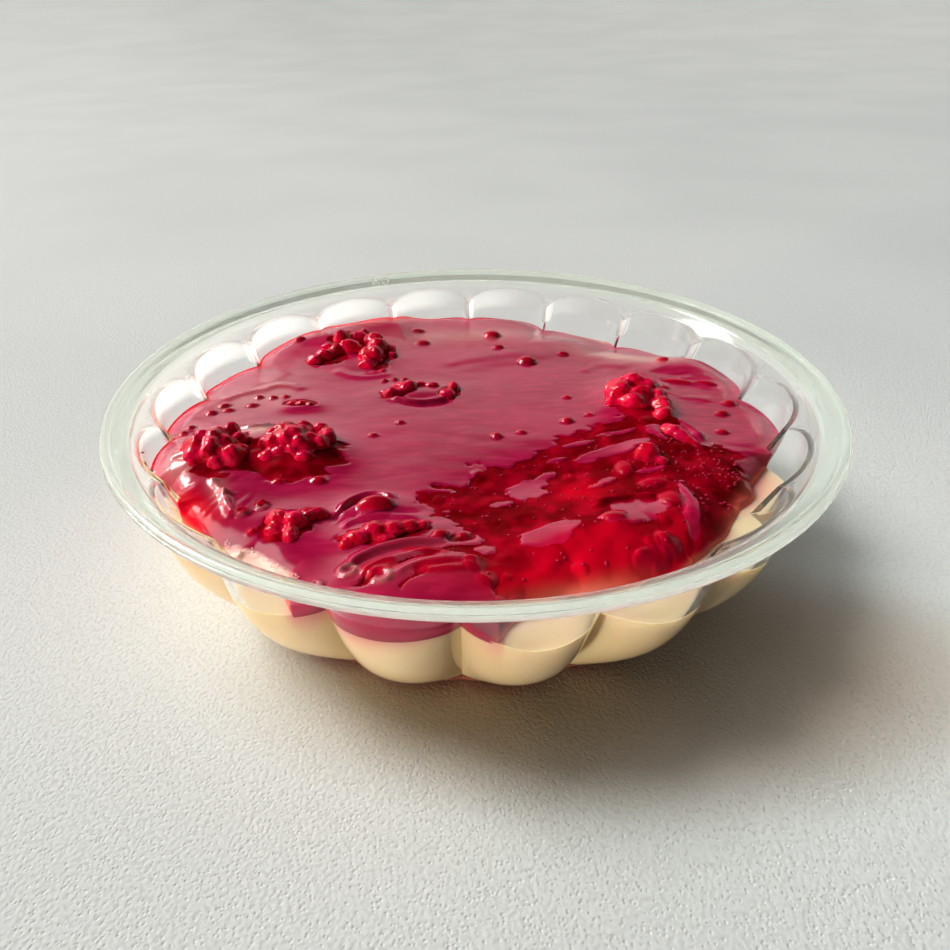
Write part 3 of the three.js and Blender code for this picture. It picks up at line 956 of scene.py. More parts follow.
# Where fruit keeps the skin away, so that it stays wet: place, half widths and turn.
WET_SPOTS = [
    ((-43.8, -12.6), (6.6, 6.8), 10), ((-31.4, -12.8), (9.0, 7.6), 0), ((-29.6, 31.0), (5.0, 3.4), 20),
    ((-19.0, 31.0), (3.4, 6.0), 10), ((-24.5, 39.5), (6.4, 3.6), 5), ((34.0, 4.5), (5.6, 7.6), -12),
    ((-13.4, 13.8), (4.0, 2.8), 30), ((-2.7, 12.6), (2.2, 3.6), -20), ((-14.0, -36.2), (7.4, 2.8), 8),
    ((-30.4, -33.2), (4.4, 4.0), -10), ((-26.4, -30.6), (2.4, 2.0), 0), ((31.0, -15.6), (3.4, 3.4), 0),
    ((38.2, -9.2), (2.6, 4.6), 28), ((-33.6, 9.6), (3.6, 2.0), -12), ((-6.0, -41.6), (3.4, 1.1), -8),
    ((1.5, -45.5), (2.6, 3.0), 0), ((-3.0, -38.0), (2.4, 1.2), 10),
]

# %% Distances and patterns on the plan
CURVE_STEPS = 14


def inside(x, y, outline):
    """Distance to a closed outline, positive inside it."""
    nearest = np.full_like(x, 1e9)
    crossings = np.zeros_like(x, bool)
    for (ax, ay), (bx, by) in zip(outline, outline[1:] + outline[:1]):
        long_x, long_y = bx - ax, by - ay
        share = np.clip(((x - ax) * long_x + (y - ay) * long_y) / (long_x**2 + long_y**2), 0, 1)
        nearest = np.minimum(nearest, np.hypot(x - ax - share * (bx - ax), y - ay - share * (by - ay)))
        between = (ay > y) != (by > y)
        crossings ^= between & (x < ax + (y - ay) * (bx - ax) / (by - ay + 1e-12))
    return np.where(crossings, nearest, -nearest)


def near_curve(x, y, first, middle, last):
    """Distance to a curve through three points, and how far along it the nearest place is."""
    nearest = np.full_like(x, 1e9)
    along = np.zeros_like(x)
    share = np.linspace(0, 1, CURVE_STEPS + 1)[:, None]
    curve = (1 - share) * (1 - 2 * share) * np.array(first) + 4 * share * (1 - share) * np.array(middle)
    curve = curve + share * (2 * share - 1) * np.array(last)
    for i in range(CURVE_STEPS):
        ax, ay = curve[i]
        dx, dy = curve[i + 1] - curve[i]
        part = np.clip(((x - ax) * dx + (y - ay) * dy) / (dx * dx + dy * dy), 0, 1)
        distance = np.hypot(x - ax - part * dx, y - ay - part * dy)
        closer = distance < nearest
        nearest = np.where(closer, distance, nearest)
        along = np.where(closer, (i + part) / CURVE_STEPS, along)
    return nearest, along


def ringed(x, y):
    """1 on the crest of each ring."""
    crest = 0.0
    for at, radius in RINGS:
        distance = np.hypot(x - at[0], y - at[1])
        crest = crest + np.exp(-(((distance - radius) / (0.3 * radius + 0.1)) ** 2))
    return crest


def folded(x, y, at, lean, width, seed):
    """Unevenly bent pattern of round-topped folds with sharp valleys between, from 0 in a valley to 1."""
    angle = math.radians(lean)
    across = (y - at[1]) * math.cos(angle) - (x - at[0]) * math.sin(angle)
    along = (x - at[0]) * math.cos(angle) + (y - at[1]) * math.sin(angle)
    bent = across + 0.7 * width * waviness(along, across, 8.0, seed, 2.4)
    bent = bent + 0.2 * width * waviness(along, across, 3.6, seed + 1, 2.0)
    return np.sqrt(np.abs(np.sin(math.pi * bent / (2 * width))))


# %% [markdown]
# The edge of the wet part isn't a clean line, so the distance to its outline is roughened before it becomes
# a mask. The valleys between the folds of the front heap are wet too.

# %% Wet or skinned
FOLD_SEED = 60
SEEDLING_TRIES, SEEDLING_COUNT = 1500, 30


def wetness(x, y):
    """1 where juice or fruit shows, and 0 where the skin covers it."""
    rough = 0.6 * waviness(x, y, 3.6, 21, 2.4) + 0.4 * waviness(x, y, 1.6, 22, 2.2)
    open_part = smooth_step(inside(x, y, WET_OUTLINE) + 1.1 * rough, -0.25, 0.35)
    for at, size, turn in ISLANDS:
        edge = 1 - np.sqrt(spread(x, y, at, size, turn)) + 0.19 * rough
        open_part = open_part * (1 - smooth_step(edge, -0.02, 0.12))
    at, size, lean, width, _ = CRUMPLED[0]
    valleys = 1 - smooth_step(folded(x, y, at, lean, width, FOLD_SEED), 0.50, 0.62)
    open_part = np.maximum(open_part, valleys * smooth_step(mound(x, y, at, size, lean), 0.35, 0.5))
    for at, size, turn in WET_SPOTS:
        edge = np.sqrt(spread(x, y, at, size, turn)) + 0.10 * rough
        open_part = np.maximum(open_part, 1 - smooth_step(edge, 0.9, 1.06))
    return open_part


def seedlings():
    """Small drupelets scattered in the wet part, closer together where the fruit is seedy."""
    generator = np.random.default_rng(7)
    x, y = generator.uniform((-8, -50), (46, -4), (SEEDLING_TRIES, 2)).T
    chance = generator.uniform(0, 1, SEEDLING_TRIES)
    seedy = 0.25 + mound(x, y, (41, -20), (6, 10))
    places = np.stack([x, y], -1)[(wetness(x, y) > 0.6) & (chance < seedy)][:SEEDLING_COUNT]
    size = generator.uniform(0.6, 1.25, len(places))
    turn = generator.uniform(0, 180, len(places))
    return [((px, py), (1.2 * w, w), lean, 0.4 * w) for (px, py), w, lean in zip(places, size, turn)]


SEEDLINGS = seedlings()

# %% [markdown]
# The relief starts from a nearly level surface. Swells come first, then folds, rings and crumpled places. The
# wet part lies a little lower than the skin and has its own finer lumps, and the fruit goes on last.

# %% Relief of the topping
TOPPING_LEVEL = 22.4
SKIN_THICKNESS = 0.16
RING_HEIGHT = 0.5
LUMP_HEIGHT, LUMP_ROUNDNESS = 0.8, 0.6


def crumple(x, y, at, size, lean, width, height, seed):
    patchy = 0.6 + 0.4 * waviness(x, y, 5.0, seed + 2)
    return height * (folded(x, y, at, lean, width, seed) - 0.7) * patchy * mound(x, y, at, size, lean)


def sauce_top(x, y):
    turn = np.arctan2(y, x)
    share = np.hypot(x, y) / inner_radius(turn, 21.5)
    rise = smooth_step(share, 0.74, 0.985)
    level = TOPPING_LEVEL * (1 - rise) + food_level(turn, smooth_step(share, 0.93, 0.995)) * rise
    z = level + 0.09 * waviness(x, y, 22, 1, 1.5) + 0.010 * waviness(x, y, 5, 2, 1.8)
    for at, size, lean, height in SWELLS:
        z = z + height * mound(x, y, at, size, lean)
    for first, middle, last, width, height in FOLDS:
        distance, along = near_curve(x, y, first, middle, last)
        ends = smooth_step(along, 0.0, 0.15) * (1 - smooth_step(along, 0.85, 1.0))
        z = z + height * ends * np.exp(-((distance / width) ** 2))
    z = z + RING_HEIGHT * ringed(x, y)
    for i, (at, size, lean, width, height) in enumerate(CRUMPLED):
        z = z + crumple(x, y, at, size, lean, width, height, FOLD_SEED + 5 * i)
    wet = wetness(x, y)
    z = z - SKIN_THICKNESS * wet + wet * (0.09 * waviness(x, y, 6.5, 5) + 0.022 * waviness(x, y, 2.4, 6))
    for at, size, lean, height in LUMPS + SEEDLINGS:
        rounded = np.maximum(1 - spread(x, y, at, size, lean), 0) ** LUMP_ROUNDNESS
        z = z + LUMP_HEIGHT * height * rounded
    return z


# Degrees round, and how far out the sauce gets there in front. Everywhere else it meets the glass.
SAUCE_EDGE = [
    (-172, 62), (-160, 57.4), (-152, 55.2), (-144, 55.2), (-137, 54.0), (-129, 53.2), (-123, 53.6),
    (-119, 57), (-116, 60), (-90, 60), (-87, 54.6), (-84, 52.0), (-79, 51.8), (-70, 53.6), (-62, 54.0),
    (-56, 53.4), (-47, 52.2), (-34, 52.0), (-22, 53.2), (-15, 56.0), (-10, 62),
]


def sauce_radius(turn):
    known = np.array(SAUCE_EDGE)
    rough = 0.35 * waviness(turn * 50, 0, 9, 31)
    reach = np.interp(np.degrees(turn), known[:, 0], known[:, 1]) + rough
    return np.minimum(reach, inner_radius(turn, food_level(turn)))


def foaminess(x, y):
    """Where tiny bubbles make the front left edge of the sauce pale."""
    return mound(x, y, (-33.2, -41.2), (8.5, 2.0), -40)


# %% [markdown]
# The sauce's material mixes its colours by what the mesh keeps for each point: how wet, thin, bright, dull or
# foamy it is there, where fruit lies just under it, and where pale sheen is painted on as painted highlights.
# Noise roughens the edge between skin and juice. Only the skin and the glaze over fruit are glossy, through
# the coat.

# %% Finish of the sauce


def sauce_finish():
    material, wire, place = new_material("raspberry_sauce")
    names = ("wet", "thin", "bright", "fruity", "glazed", "foam", "dull", "pale")
    wet, thin, bright, fruity, glazed, foam, dull, pale = (wire.attribute(name) for name in names)
    clouds = place.noise(55.0, 2.0)
    lumps = place.noise(240.0, 2.0)
    stretched = wire.node("ShaderNodeMapping", None, {"Vector": place, "Scale": (0.3, 1.0, 1.0)})
    drawn = stretched.noise(800.0, 1.0)
    dots = place.cells(420.0)
    wet = (wet + 0.5 * (drawn - 0.5) + 0.35 * (lumps - 0.5)).step(0.42, 0.56)
    skin = clouds.step(0.3, 0.7).blend(colour(0.38, 0.004, 0.048), colour(0.47, 0.006, 0.068))
    skin = (0.5 * drawn.step(0.42, 0.70)).blend(skin, colour(0.60, 0.016, 0.10))
    speck = (1 - dots.step(0.08, 0.16)) * clouds.step(0.45, 0.6)
    # Painted sheen: the kept pale number paints the skin a pale pink that stands in for highlights.
    skin = (pale * (0.5 + clouds)).blend(skin, colour(0.72, 0.36, 0.31))
    skin = (0.6 * speck).blend(skin, colour(0.62, 0.004, 0.06))
    skin = (0.6 * dull).blend(skin, colour(0.24, 0.002, 0.028))
    juice = lumps.step(0.36, 0.70).blend(colour(0.17, 0.0004, 0.003), colour(0.42, 0.0006, 0.014))
    seed = (1 - dots.step(0.07, 0.13)) * lumps.step(0.42, 0.58)
    juice = (0.7 * seed).blend(juice, colour(0.72, 0.02, 0.12))
    base = wet.blend(skin, juice)
    base = bright.blend(base, colour(0.74, 0.0010, 0.018))
    base = fruity.blend(base, colour(0.46, 0.001, 0.020))
    base = thin.blend(base, colour(0.86, 0.20, 0.12))
    foamy = (1.3 * foam * (0.3 + drawn + 0.5 * lumps)).step(0.40, 0.75)
    base = foamy.blend(base, colour(0.90, 0.55, 0.48))
    skinned = (1 - 0.97 * wet) * (1 - 0.5 * fruity)
    sheen = (skinned + 0.12 * glazed + 0.22 * fruity) * (1 - 0.85 * dull)
    return set_surface(
        material, Base_Color=base, Roughness=0.28, Specular_IOR_Level=0.0, Normal=drawn.bump(0.10),
        Coat_Weight=sheen, Coat_Roughness=0.13, Coat_IOR=1.5,
    )


# %% [markdown]
# The surface of the sauce is a bent square grid, which keeps its cells even in size from the middle to the
# edge. Its outer loop goes down and back in under the surface of the filling, so the piece is closed.

# %% Mesh of the topping
GRID = 300
LIP_FROM, LIP_WIDTH = 0.90, 0.10
INTO_CREAM, BELOW_CREAM = 0.05, 0.5
UNDERSIDE_SHARES = (0.996, 0.93, 0.7, 0.35)
UNDERSIDE_DEPTH = 3.0


def disc_grid(steps):
    """Points of a unit disc, laid out as a bent square grid."""
    side = np.linspace(-1, 1, steps + 1)
    a, b = np.meshgrid(side, side)
    wide = np.abs(a) > np.abs(b)
    radius = np.where(wide, a, b)
    safe_a = np.where(a == 0, 1, a)
    safe_b = np.where(b == 0, 1, b)
    turn = np.where(wide, (math.pi / 4) * b / safe_a, math.pi / 2 - (math.pi / 4) * a / safe_b)
    turn = np.where((a == 0) & (b == 0), 0, turn)
    return (radius * np.cos(turn)).ravel(), (radius * np.sin(turn)).ravel()


def outer_loop(steps):
    """Indices of the grid's outer points, in order anticlockwise."""
    count = steps + 1
    bottom = np.arange(count)
    right = np.arange(1, count) * count + steps
    top = steps * count + np.arange(count - 2, -1, -1)
    left = np.arange(count - 2, 0, -1) * count
    return np.concatenate([bottom, right, top, left])


def topping():
    """The mesh of the sauce, and the depth of the sauce at each of its points."""
    unit_x, unit_y = disc_grid(GRID)
    turn = np.arctan2(unit_y, unit_x)
    share = np.hypot(unit_x, unit_y)
    reach = sauce_radius(turn)
    x = share * reach * np.cos(turn)
    y = share * reach * np.sin(turn)
    under = cream_top(x, y)
    bare = inner_radius(turn, food_level(turn)) - reach
    lip = np.clip((share - LIP_FROM) / LIP_WIDTH, 0, 1)
    taper = 1 - (1 - np.sqrt(1 - lip * lip)) * smooth_step(bare, 0.3, 1.5)
    depth = (sauce_top(x, y) - under) * taper
    points = [np.stack([x, y, under - INTO_CREAM + np.maximum(depth, 0)], -1)]
    faces = strip(GRID + 1, GRID + 1, closed=False)
    previous = loop = outer_loop(GRID)
    total = len(x)
    for inwards in UNDERSIDE_SHARES:
        low_x = x[loop] * inwards
        low_y = y[loop] * inwards
        points.append(np.stack([low_x, low_y, cream_top(low_x, low_y) - BELOW_CREAM], -1))
        current = total + np.arange(len(loop))
        total += len(loop)
        for i in range(len(loop)):
            j = (i + 1) % len(loop)
            faces.append((previous[i], current[i], current[j], previous[j]))
        previous = current
    points.append(np.array([[0, 0, float(cream_top(np.zeros(1), np.zeros(1))[0]) - BELOW_CREAM]]))
    for i in range(len(loop)):
        faces.append((previous[i], total, previous[(i + 1) % len(loop)]))
    points = np.concatenate(points)
    depth = np.concatenate([depth, np.full(len(points) - len(depth), UNDERSIDE_DEPTH)])
    return piece("raspberry_sauce", points, faces, sauce_finish()), points, depth


sauce, sauce_points, sauce_depth = topping()
describe(sauce)

# %% [markdown]
# The places of bright jelly, thin sauce and painted pale sheen are sums of mounds, listed as weight, place,
# half widths and turn. The painted sheen stands in for highlights along ridges, on crumpled skin and on the
# rims of burst bubbles. At the back left the edge at the glass is wet and bright, and in front the sauce
# against the glass is dull.

# %% Numbers that the sauce keeps for each point


def store_sauce(made, points, depth):
    """Keeps what the sauce's material reads: eight numbers from 0 to about 1 at every point."""
    x, y = points[:, 0], points[:, 1]
    turn = np.arctan2(y, x)
    at_wall = smooth_step(np.hypot(x, y) / sauce_radius(turn), 0.986, 0.995)
    edge = smooth_step(np.hypot(x, y) / inner_radius(turn, 22.0), 0.955, 0.99)
    behind = smooth_step(y, -34, -20)
    back_left = behind * (1 - smooth_step(x, 0, 30))
    store(made, "wet", np.maximum(wetness(x, y) * (1 - at_wall), at_wall * back_left))
    smear = mounds(x, y, (0.85, (13.5, -49.4), (8.5, 1.5), 12), (0.6, (44.0, -28.6), (14, 1.7), 57))
    store(made, "thin", np.maximum(1 - smooth_step(depth, 0.15, 1.1), smear))
    bright = mounds(
        x, y, (1.3, (-46.8, -27.0), (3.8, 6.0), 32), (0.7, (8, -48.5), (14, 3.2), 3),
        (0.8, (17.5, -24.5), (5, 3.2), 15), (0.6, (28, -46), (7, 3), 35), (0.6, (16, -42), (11, 5), 8),
        (0.5, (30, -38), (3, 6), -10), (0.9, (-19, 52.5), (10, 2.6), 14),
    )
    store(made, "bright", np.clip(bright + 0.5 * edge * back_left, 0, 1))
    glazed = np.zeros_like(x)
    for at, size, lean in WET_SPOTS:
        glazed = np.maximum(glazed, 1 - smooth_step(spread(x, y, at, size, lean), 0.8, 1.3))
    store(made, "glazed", glazed)
    # Painted sheen and highlights: pale streaks along ridges, on crumpled skin and round the rims of burst
    # bubbles.
    pale = mounds(
        x, y, (0.9, (38, 28.5), (11, 2.6), -22), (0.8, (-39, -5), (4.5, 2.4), 8),
        (0.3, (-43, 14), (9, 5), 40), (0.35, (6, 44), (26, 4), 0), (0.5, (-43.5, -22), (1.6, 5), 20),
        (0.5, (-51, -15), (3.5, 4.5), 0), (0.12, (-9, -44), (11, 5), 16),
    )
    store(made, "pale", pale + 0.45 * ringed(x, y))
    front_edge = (1 - smooth_step(depth, 0.8, 3.2)) * smooth_step(-y, 8, 16)
    veil = mound(x, y, (-42.5, -23.5), (2.4, 5.5), 28)
    pooled = mounds(
        x, y, (1.0, (-40, -31), (9, 6), -50), (1.2, (-29, -41), (13, 5.5), -38),
        (0.6, (-36, -23.5), (7, 4), -20),
    )
    store(made, "dull", np.clip(front_edge + 0.4 * (1 - behind) * at_wall + pooled - veil, 0, 1))
    store(made, "foam", foaminess(x, y))
    fruity = np.zeros_like(x)
    for at, size, lean, _ in LUMPS:
        fruity = np.maximum(fruity, 1 - smooth_step(spread(x, y, at, size, lean), 0.75, 1.15))
    store(made, "fruity", fruity)


store_sauce(sauce, sauce_points, sauce_depth)

# %% [markdown]
# The filling is stained where the sauce lies on it and just outside it, so the pink is worked out from how
# near a point is to the sauce's edge. At the right front more of the same pink is painted on as painted
# shade.

# %% Stain on the filling


def stain_on(made):
    """Keeps how pink the juice has made the filling, from how near the sauce is, plus painted shade in the
    same pink at the right front, and where it is foamy.
    """
    x, y, z = np.array([v.co for v in made.data.vertices]).T / MM
    turn = np.arctan2(y, x)
    beyond = np.hypot(x, y) - sauce_radius(turn)
    on_top = np.exp(-np.maximum(beyond, 0) / 1.6)
    covered = 1 - smooth_step(inner_radius(turn, food_level(turn)) - sauce_radius(turn), 0.3, 2.0)
    seep = np.exp(-np.maximum(cream_level(turn) - z, 0) / 3.2) * (0.25 + 0.75 * covered)
    # Painted shade: more of the same pink on the filling at the right front, which lies in shade.
    on_top = on_top + 0.4 * mound(x, y, (52, -22), (9, 9))
    upward = z > cream_top(x, y) - 0.4
    uneven = 0.8 + 0.25 * waviness(turn * 50, z, 11, 41)
    store(made, "foam", foaminess(x, y) * upward)
    store(made, "stain_and_shade", np.clip(np.where(upward, np.maximum(seep, on_top * 0.8), seep) * uneven, 0, 1))


stain_on(cream)

# %% [markdown]
# ## Raspberries
#
# A raspberry is a shell of drupelets round a hollow core. Crushed and glazed with sauce they run together,
# so a plain heap of spheres would look too clean. Each lump is planned as a list of drops, which are
# ellipsoids. Geometry Nodes put a ball on every drop, turn the heap into a volume and back, which melts the
# balls together, and push the result a little out of shape. The work is done at a thousand times the size,
# where the volume grid is accurate.

# %% Melting tree
VOXEL = 0.24
PRESS_SCALE, WRINKLE_SCALE = 0.22, 1.1


def melting_tree():
    kinds = {"voxel": "Float", "runs": "Int", "press": "Float", "wrinkle": "Float", "finish": "Material"}
    tree, wire, inputs = new_tree("melted_drops", **kinds)
    vector = {"data_type": "FLOAT_VECTOR"}
    points = wire.node("GeometryNodeMeshToPoints", None, {"Mesh": inputs["Geometry"]})
    size = wire.node("GeometryNodeInputNamedAttribute", vector, {"Name": "size"})
    ball = wire.node("GeometryNodeMeshIcoSphere", None, {"Radius": 1.0, "Subdivisions": 4})
    sockets = {"Points": points, "Instance": ball, "Scale": size}
    heap = wire.node("GeometryNodeInstanceOnPoints", None, sockets)
    drops = wire.node("GeometryNodeRealizeInstances", None, {"Geometry": heap})
    sockets = {"Mesh": drops, "Voxel Size": inputs["voxel"], "Interior Band Width": 0.6}
    volume = wire.node("GeometryNodeMeshToVolume", {"resolution_mode": "VOXEL_SIZE"}, sockets)
    melted = wire.node("GeometryNodeVolumeToMesh", None, {"Volume": volume, "Threshold": 0.1})
    position = wire.node("GeometryNodeInputPosition")
    sockets = {"Value": position, "Iterations": inputs["runs"]}
    blurred = wire.node("GeometryNodeBlurAttribute", vector, sockets)
    melted = wire.node("GeometryNodeSetPosition", None, {"Geometry": melted, "Position": blurred})
    pushes = []
    for scale, strength in ((PRESS_SCALE, inputs["press"]), (WRINKLE_SCALE, inputs["wrinkle"])):
        sockets = {"Vector": position.noise(scale, 1.0, out=1), "Vector_001": (0.5, 0.5, 0.5)}
        centred = wire.node("ShaderNodeVectorMath", {"operation": "SUBTRACT"}, sockets)
        sockets = {"Vector": centred, "Scale": strength}
        pushes.append(wire.node("ShaderNodeVectorMath", {"operation": "SCALE"}, sockets))
    sockets = dict(zip(("Vector", "Vector_001"), pushes))
    shift = wire.node("ShaderNodeVectorMath", {"operation": "ADD"}, sockets)
    pressed = wire.node("GeometryNodeSetPosition", None, {"Geometry": melted, "Offset": shift})
    smooth = wire.node("GeometryNodeSetShadeSmooth", None, {"Geometry": pressed})
    return end_tree(tree, smooth, inputs["finish"])


def fruit_finish():
    material, _, place = new_material("glazed_fruit")
    patches = place.noise(420.0, 1.0)
    pulp = place.noise(620.0, 2.0)
    base = patches.step(0.35, 0.7).blend(colour(0.50, 0.0010, 0.018), colour(0.76, 0.004, 0.060))
    fibre = pulp.step(0.66, 0.74).blend(base, colour(0.80, 0.02, 0.09))
    return set_surface(
        material, Base_Color=fibre, Roughness=0.22, Specular_IOR_Level=0.0, Normal=pulp.bump(0.25),
        Coat_Weight=0.55, Coat_Roughness=0.04,
    )


FRUIT = fruit_finish()
MELT = melting_tree()

# %% [markdown]
# Drops are listed with the height of their tops above the sauce around them. A whole berry is a packed
# shell: points spread evenly over an ellipsoid by the golden angle, each shifted a little, round one big
# drop for the core.

# %% Drops
GOLDEN_ANGLE = math.pi * (3 - math.sqrt(5))
PACKING, CORE_INSET, SHELL_INSET = 4.6, 0.45, 0.9


def drop(x, y, rise, wide, deep, high=None):
    """One drop, standing out of the sauce by its rise: its centre, then its half widths."""
    high = high or (wide + deep) / 2
    level = float(sauce_top(np.array([float(x)]), np.array([float(y)]))[0])
    return (x, y, level + rise - high, wide, deep, high)


def packed(at, half_widths, drupelet, rise, seed, turn=0.0):
    """The drops of a whole berry."""
    generator = np.random.default_rng(seed)
    core = drop(*at, rise, *half_widths)
    wide, deep, high = half_widths
    count = int(PACKING * (wide * deep + deep * high + high * wide) / 3 / drupelet**2)
    found = [(*core[:3], *(w - CORE_INSET * drupelet for w in half_widths))]
    lean = math.radians(turn)
    for i in range(count):
        up = 1 - (2 * i + 1) / count
        around = i * GOLDEN_ANGLE + generator.uniform(-0.25, 0.25)
        flat = math.sqrt(1 - up * up)
        size = drupelet * generator.uniform(0.75, 1.2)
        place = [flat * math.cos(around), flat * math.sin(around), up]
        x, y, z = (share * (w - SHELL_INSET * size) for share, w in zip(place, half_widths))
        x, y = x * math.cos(lean) - y * math.sin(lean), x * math.sin(lean) + y * math.cos(lean)
        found.append((core[0] + x, core[1] + y, core[2] + z, size, size, size * generator.uniform(0.8, 1.0)))
    return found


def berry(name, node, drops, whole=(), press=1.3, wrinkle=0.4, runs=7):
    """A melted lump, from the drops of a whole berry and more drops as drop() takes them."""
    drops = np.array([*whole, *(drop(*numbers) for numbers in drops)])
    made = piece(name, drops[:, :3] / MM, [], FRUIT)
    sizes = made.data.attributes.new("size", "FLOAT_VECTOR", "POINT")
    sizes.data.foreach_set("vector", drops[:, 3:].ravel().astype(np.float32))
    run_tree(made, MELT, voxel=VOXEL, runs=runs, press=press, wrinkle=wrinkle, finish=FRUIT)
    made.data.transform(Matrix.Scale(MM, 4))
    describe(made)
    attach(made, "root")
    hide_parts(node)


# %% The four large berries
berry("raspberry_left", "raspberry_1", [
    (-43.4, -7.4, 3.0, 1.9, 1.9, 3.4), (-41.6, -9.4, 1.8, 1.6, 1.5), (-42.2, -14.4, 2.2, 2.3, 2.2, 2.8),
    (-44.8, -16.0, 1.4, 1.9, 1.6), (-40.4, -12.6, 1.2, 1.5, 1.7),
], packed((-46.4, -11.4), (5.8, 5.6, 5.2), 1.7, 2.6, 3, 20))
berry("raspberry_left_of_middle", "raspberry_2", [
    (-27.6, -5.0, 1.9, 1.9, 1.6), (-25.8, -7.4, 2.1, 1.7, 2.2), (-27.0, -10.6, 1.8, 1.7, 2.0),
    (-36.2, -14.0, 0.8, 2.0, 1.6), (-29.6, -14.4, 0.9, 2.6, 1.8), (-34.4, -6.4, 1.6, 2.0, 1.6),
    (-30.6, -5.0, 2.0, 1.8, 1.5),
], packed((-32.6, -9.6), (6.2, 5.4, 5.0), 1.75, 2.8, 8, -15))
berry("raspberry_back_left", "raspberry_3", [
    (-32.6, 30.0, 1.8, 2.0, 1.6), (-30.4, 31.6, 2.2, 2.0, 1.9), (-28.4, 33.8, 2.2, 1.7, 1.8),
    (-24.8, 35.4, 2.4, 3.0, 2.4), (-27.2, 39.0, 2.6, 2.6, 2.2), (-23.4, 40.6, 2.8, 2.8, 2.4),
    (-19.6, 39.0, 2.6, 2.2, 2.4), (-18.6, 34.8, 3.0, 2.7, 2.8), (-19.8, 30.4, 2.9, 3.0, 2.8),
    (-20.6, 27.4, 2.0, 2.3, 2.0), (-15.6, 34.6, 1.6, 1.5, 1.8), (-15.0, 31.8, 1.2, 1.3, 1.5),
    (-30.6, 36.2, 1.4, 1.5, 1.3), (-22.0, 44.4, 1.4, 2.0, 1.5), (-26.0, 43.0, 1.4, 1.8, 1.4),
], press=1.8, runs=11)
berry("raspberry_back_right", "raspberry_4", [
    (31.0, 6.6, 2.6, 3.0, 2.6, 3.4), (33.6, 8.4, 3.2, 3.6, 2.8, 4.0), (30.6, 9.4, 1.8, 2.6, 1.8),
    (36.6, 7.4, 2.8, 2.8, 2.6, 3.4), (38.0, 4.4, 2.6, 2.2, 2.4, 3.0), (38.2, 1.4, 2.3, 2.4, 2.6, 3.0),
    (37.4, -1.6, 1.8, 2.2, 2.2), (33.0, 2.2, 1.7, 3.0, 2.2), (35.0, 4.4, 2.3, 2.8, 2.2, 2.8),
    (29.4, 3.4, 1.0, 1.8, 1.4), (35.6, 11.2, 1.8, 2.4, 1.7),
], press=1.8, runs=11)

# %% Smaller pieces of fruit
berry("fruit_ring", "berry_piece_1", [
    (-14.4, 12.8, 1.5, 2.6, 1.9), (-11.4, 14.6, 1.7, 2.2, 2.0), (-13.0, 16.6, 1.1, 1.8, 1.4),
    (-3.0, 11.8, 1.5, 1.9, 2.0), (-1.8, 14.8, 1.7, 1.5, 2.0), (-6.4, 15.8, 0.8, 1.8, 1.1),
    (-8.8, 16.4, 0.7, 1.5, 1.0), (-16.6, 13.8, 0.7, 1.1, 0.9),
])
berry("fruit_strip", "berry_piece_2", [
    (-18.8, -37.6, 1.6, 2.4, 1.9), (-16.2, -36.0, 1.7, 2.2, 1.9), (-13.2, -35.8, 1.5, 2.0, 1.7),
    (-10.8, -35.2, 1.5, 1.6, 1.5), (-8.6, -34.8, 1.2, 1.3, 1.3), (-20.4, -39.0, 0.9, 1.5, 1.2),
    (-14.4, -38.0, 0.7, 1.9, 1.2),
], press=0.8)
berry("fruit_chunk", "berry_piece_3", [
    (-31.4, -31.4, 1.9, 2.7, 2.2), (-28.6, -32.4, 1.9, 2.1, 2.1), (-29.2, -35.4, 1.2, 1.5, 2.1),
    (-32.2, -33.8, 1.1, 1.8, 1.4),
], press=1.0)
berry("loose_drupelets", "berry_piece_4", [
    (-25.4, -30.4, 1.1, 1.9, 1.4), (-27.0, -31.4, 0.8, 1.2, 1.1),
], press=0.6)
berry("round_drupelet", "berry_piece_5", [
    (33.0, -17.6, 0.9, 1.4, 1.2),
], packed((31.0, -15.4), (2.6, 2.5, 2.9), 1.0, 2.2, 61), press=0.5, wrinkle=0.2)
berry("long_drupelet", "berry_piece_6", [
    (36.8, -6.9, 1.0, 1.8, 1.8), (37.7, -8.3, 1.25, 2.0, 1.9), (38.7, -9.7, 1.3, 2.0, 1.9),
    (39.6, -11.1, 1.1, 1.8, 1.8), (40.4, -12.3, 0.9, 1.5, 1.5),
], press=0.6, wrinkle=0.15)
berry("half_sunk_drupelets", "berry_piece_7", [
    (-35.2, 9.8, 0.7, 1.5, 1.1), (-33.0, 9.4, 0.8, 1.6, 1.2), (-31.2, 8.6, 0.6, 1.2, 1.0),
], press=0.6)

# %% [markdown]
# ## Small scattered things
#
# Loose seeds and drupelet skins lie in the juice. Tiny bubbles line the thin sauce at the front left, and a
# few crumbs stick to the inside of the wall. Each kind is one piece: Geometry Nodes put a small
# ball of uneven size and flatness at every place.

# %% Scatter tree


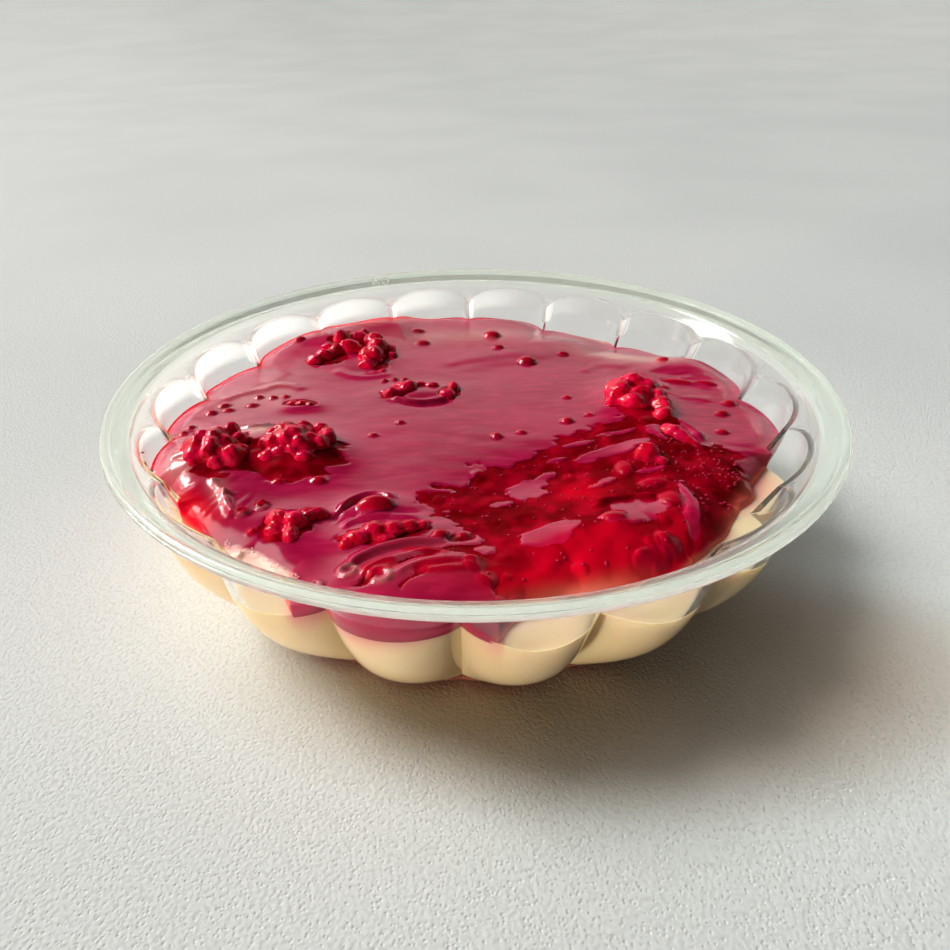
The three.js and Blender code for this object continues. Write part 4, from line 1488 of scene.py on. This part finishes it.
def scatter_tree():
    tree, wire, inputs = new_tree("scattered_grains", radius="Float", seed="Int", finish="Material")
    points = wire.node("GeometryNodeMeshToPoints", None, {"Mesh": inputs["Geometry"]})
    grain = wire.node("GeometryNodeMeshIcoSphere", None, {"Radius": inputs["radius"], "Subdivisions": 2})

    def drawn(low, high):
        sockets = {"Min": low, "Max": high, "Seed": inputs["seed"]}
        return wire.node("FunctionNodeRandomValue", {"data_type": "FLOAT_VECTOR"}, sockets)

    size = drawn((0.6, 0.6, 0.4), (1.5, 1.3, 1.0))
    turn = drawn((-0.4, -0.4, 0.0), (0.4, 0.4, 6.3))
    rotation = wire.node("FunctionNodeEulerToRotation", None, {"Euler": turn})
    sockets = {"Points": points, "Instance": grain, "Scale": size, "Rotation": rotation}
    grains = wire.node("GeometryNodeInstanceOnPoints", None, sockets)
    whole = wire.node("GeometryNodeRealizeInstances", None, {"Geometry": grains})
    smooth = wire.node("GeometryNodeSetShadeSmooth", None, {"Geometry": whole})
    return end_tree(tree, smooth, inputs["finish"])


SCATTER = scatter_tree()


def plain_finish(name, tint, roughness, coat=0.0):
    material, _, _ = new_material(name)
    return set_surface(
        material, Base_Color=colour(*tint), Roughness=roughness, Specular_IOR_Level=0.3, Coat_Weight=coat
    )


def scattered(name, x, y, z, radius, seed, finish):
    """One piece of grains, whose middles are at the listed places."""
    made = piece(name, np.stack([x, y, z], -1), [], finish)
    run_tree(made, SCATTER, radius=radius * MM, seed=seed, finish=finish)
    describe(made)
    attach(made, "root")


# %% Seeds
SEED_TRIES, SEED_SIZE = 2600, 0.26
generator = np.random.default_rng(19)

x, y = generator.uniform((-6, -50), (47, -6), (SEED_TRIES, 2)).T
seedy = 0.05 + 0.5 * mound(x, y, (40.5, -20), (6.5, 10))
kept = (wetness(x, y) > 0.8) & (generator.uniform(0, 1, SEED_TRIES) < seedy) & (np.hypot(x, y) < 51)
x, y = x[kept], y[kept]
seed_finish = plain_finish("seeds", (0.46, 0.003, 0.045), 0.8)
scattered("loose_seeds", x, y, sauce_top(x, y) - 0.08, SEED_SIZE, 3, seed_finish)

# %% Bubbles
BUBBLES, BUBBLE_SIZE = 150, 0.15

along = generator.uniform(0, 1, BUBBLES)
across = generator.normal(0, 0.7, BUBBLES)
x = -40.0 + 13.0 * along + 0.6 * across
y = -36.0 - 10.5 * along + across
kept = np.hypot(x, y) < 55.5
x, y = x[kept], y[kept]
on_sauce = np.hypot(x, y) < sauce_radius(np.arctan2(y, x)) - 1.0
level = np.maximum(np.where(on_sauce, sauce_top(x, y), 0), cream_top(x, y))
bubble_finish = plain_finish("bubbles", (0.88, 0.50, 0.47), 0.12, 0.6)
scattered("small_bubbles", x, y, level - 0.04, BUBBLE_SIZE, 5, bubble_finish)

# %% Crumbs
CRUMBS, CRUMB_SIZE = 16, 0.34

turn = np.radians(generator.normal(-160, 2.6, CRUMBS))
z = generator.uniform(24.2, 27.0, CRUMBS)
radius = flute_radius(turn, z) - WALL - 0.12
crumb_finish = biscuit_layer.data.materials[0]
x, y = radius * np.cos(turn), radius * np.sin(turn)
scattered("crumbs_on_wall", x, y, z, CRUMB_SIZE, 9, crumb_finish)

# %% Every piece rides on the one body and stands for its node
for made, cad_node, finish_slot in [
    (dish, "dish", "clear_dish"),
    (biscuit_layer, "biscuit_base", "biscuit"),
    (cream, "cheese_filling", "filling"),
    (sauce, "raspberry_topping", "sauce"),
]:
    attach(made, "root")
    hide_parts(cad_node)

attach(mark, "root")
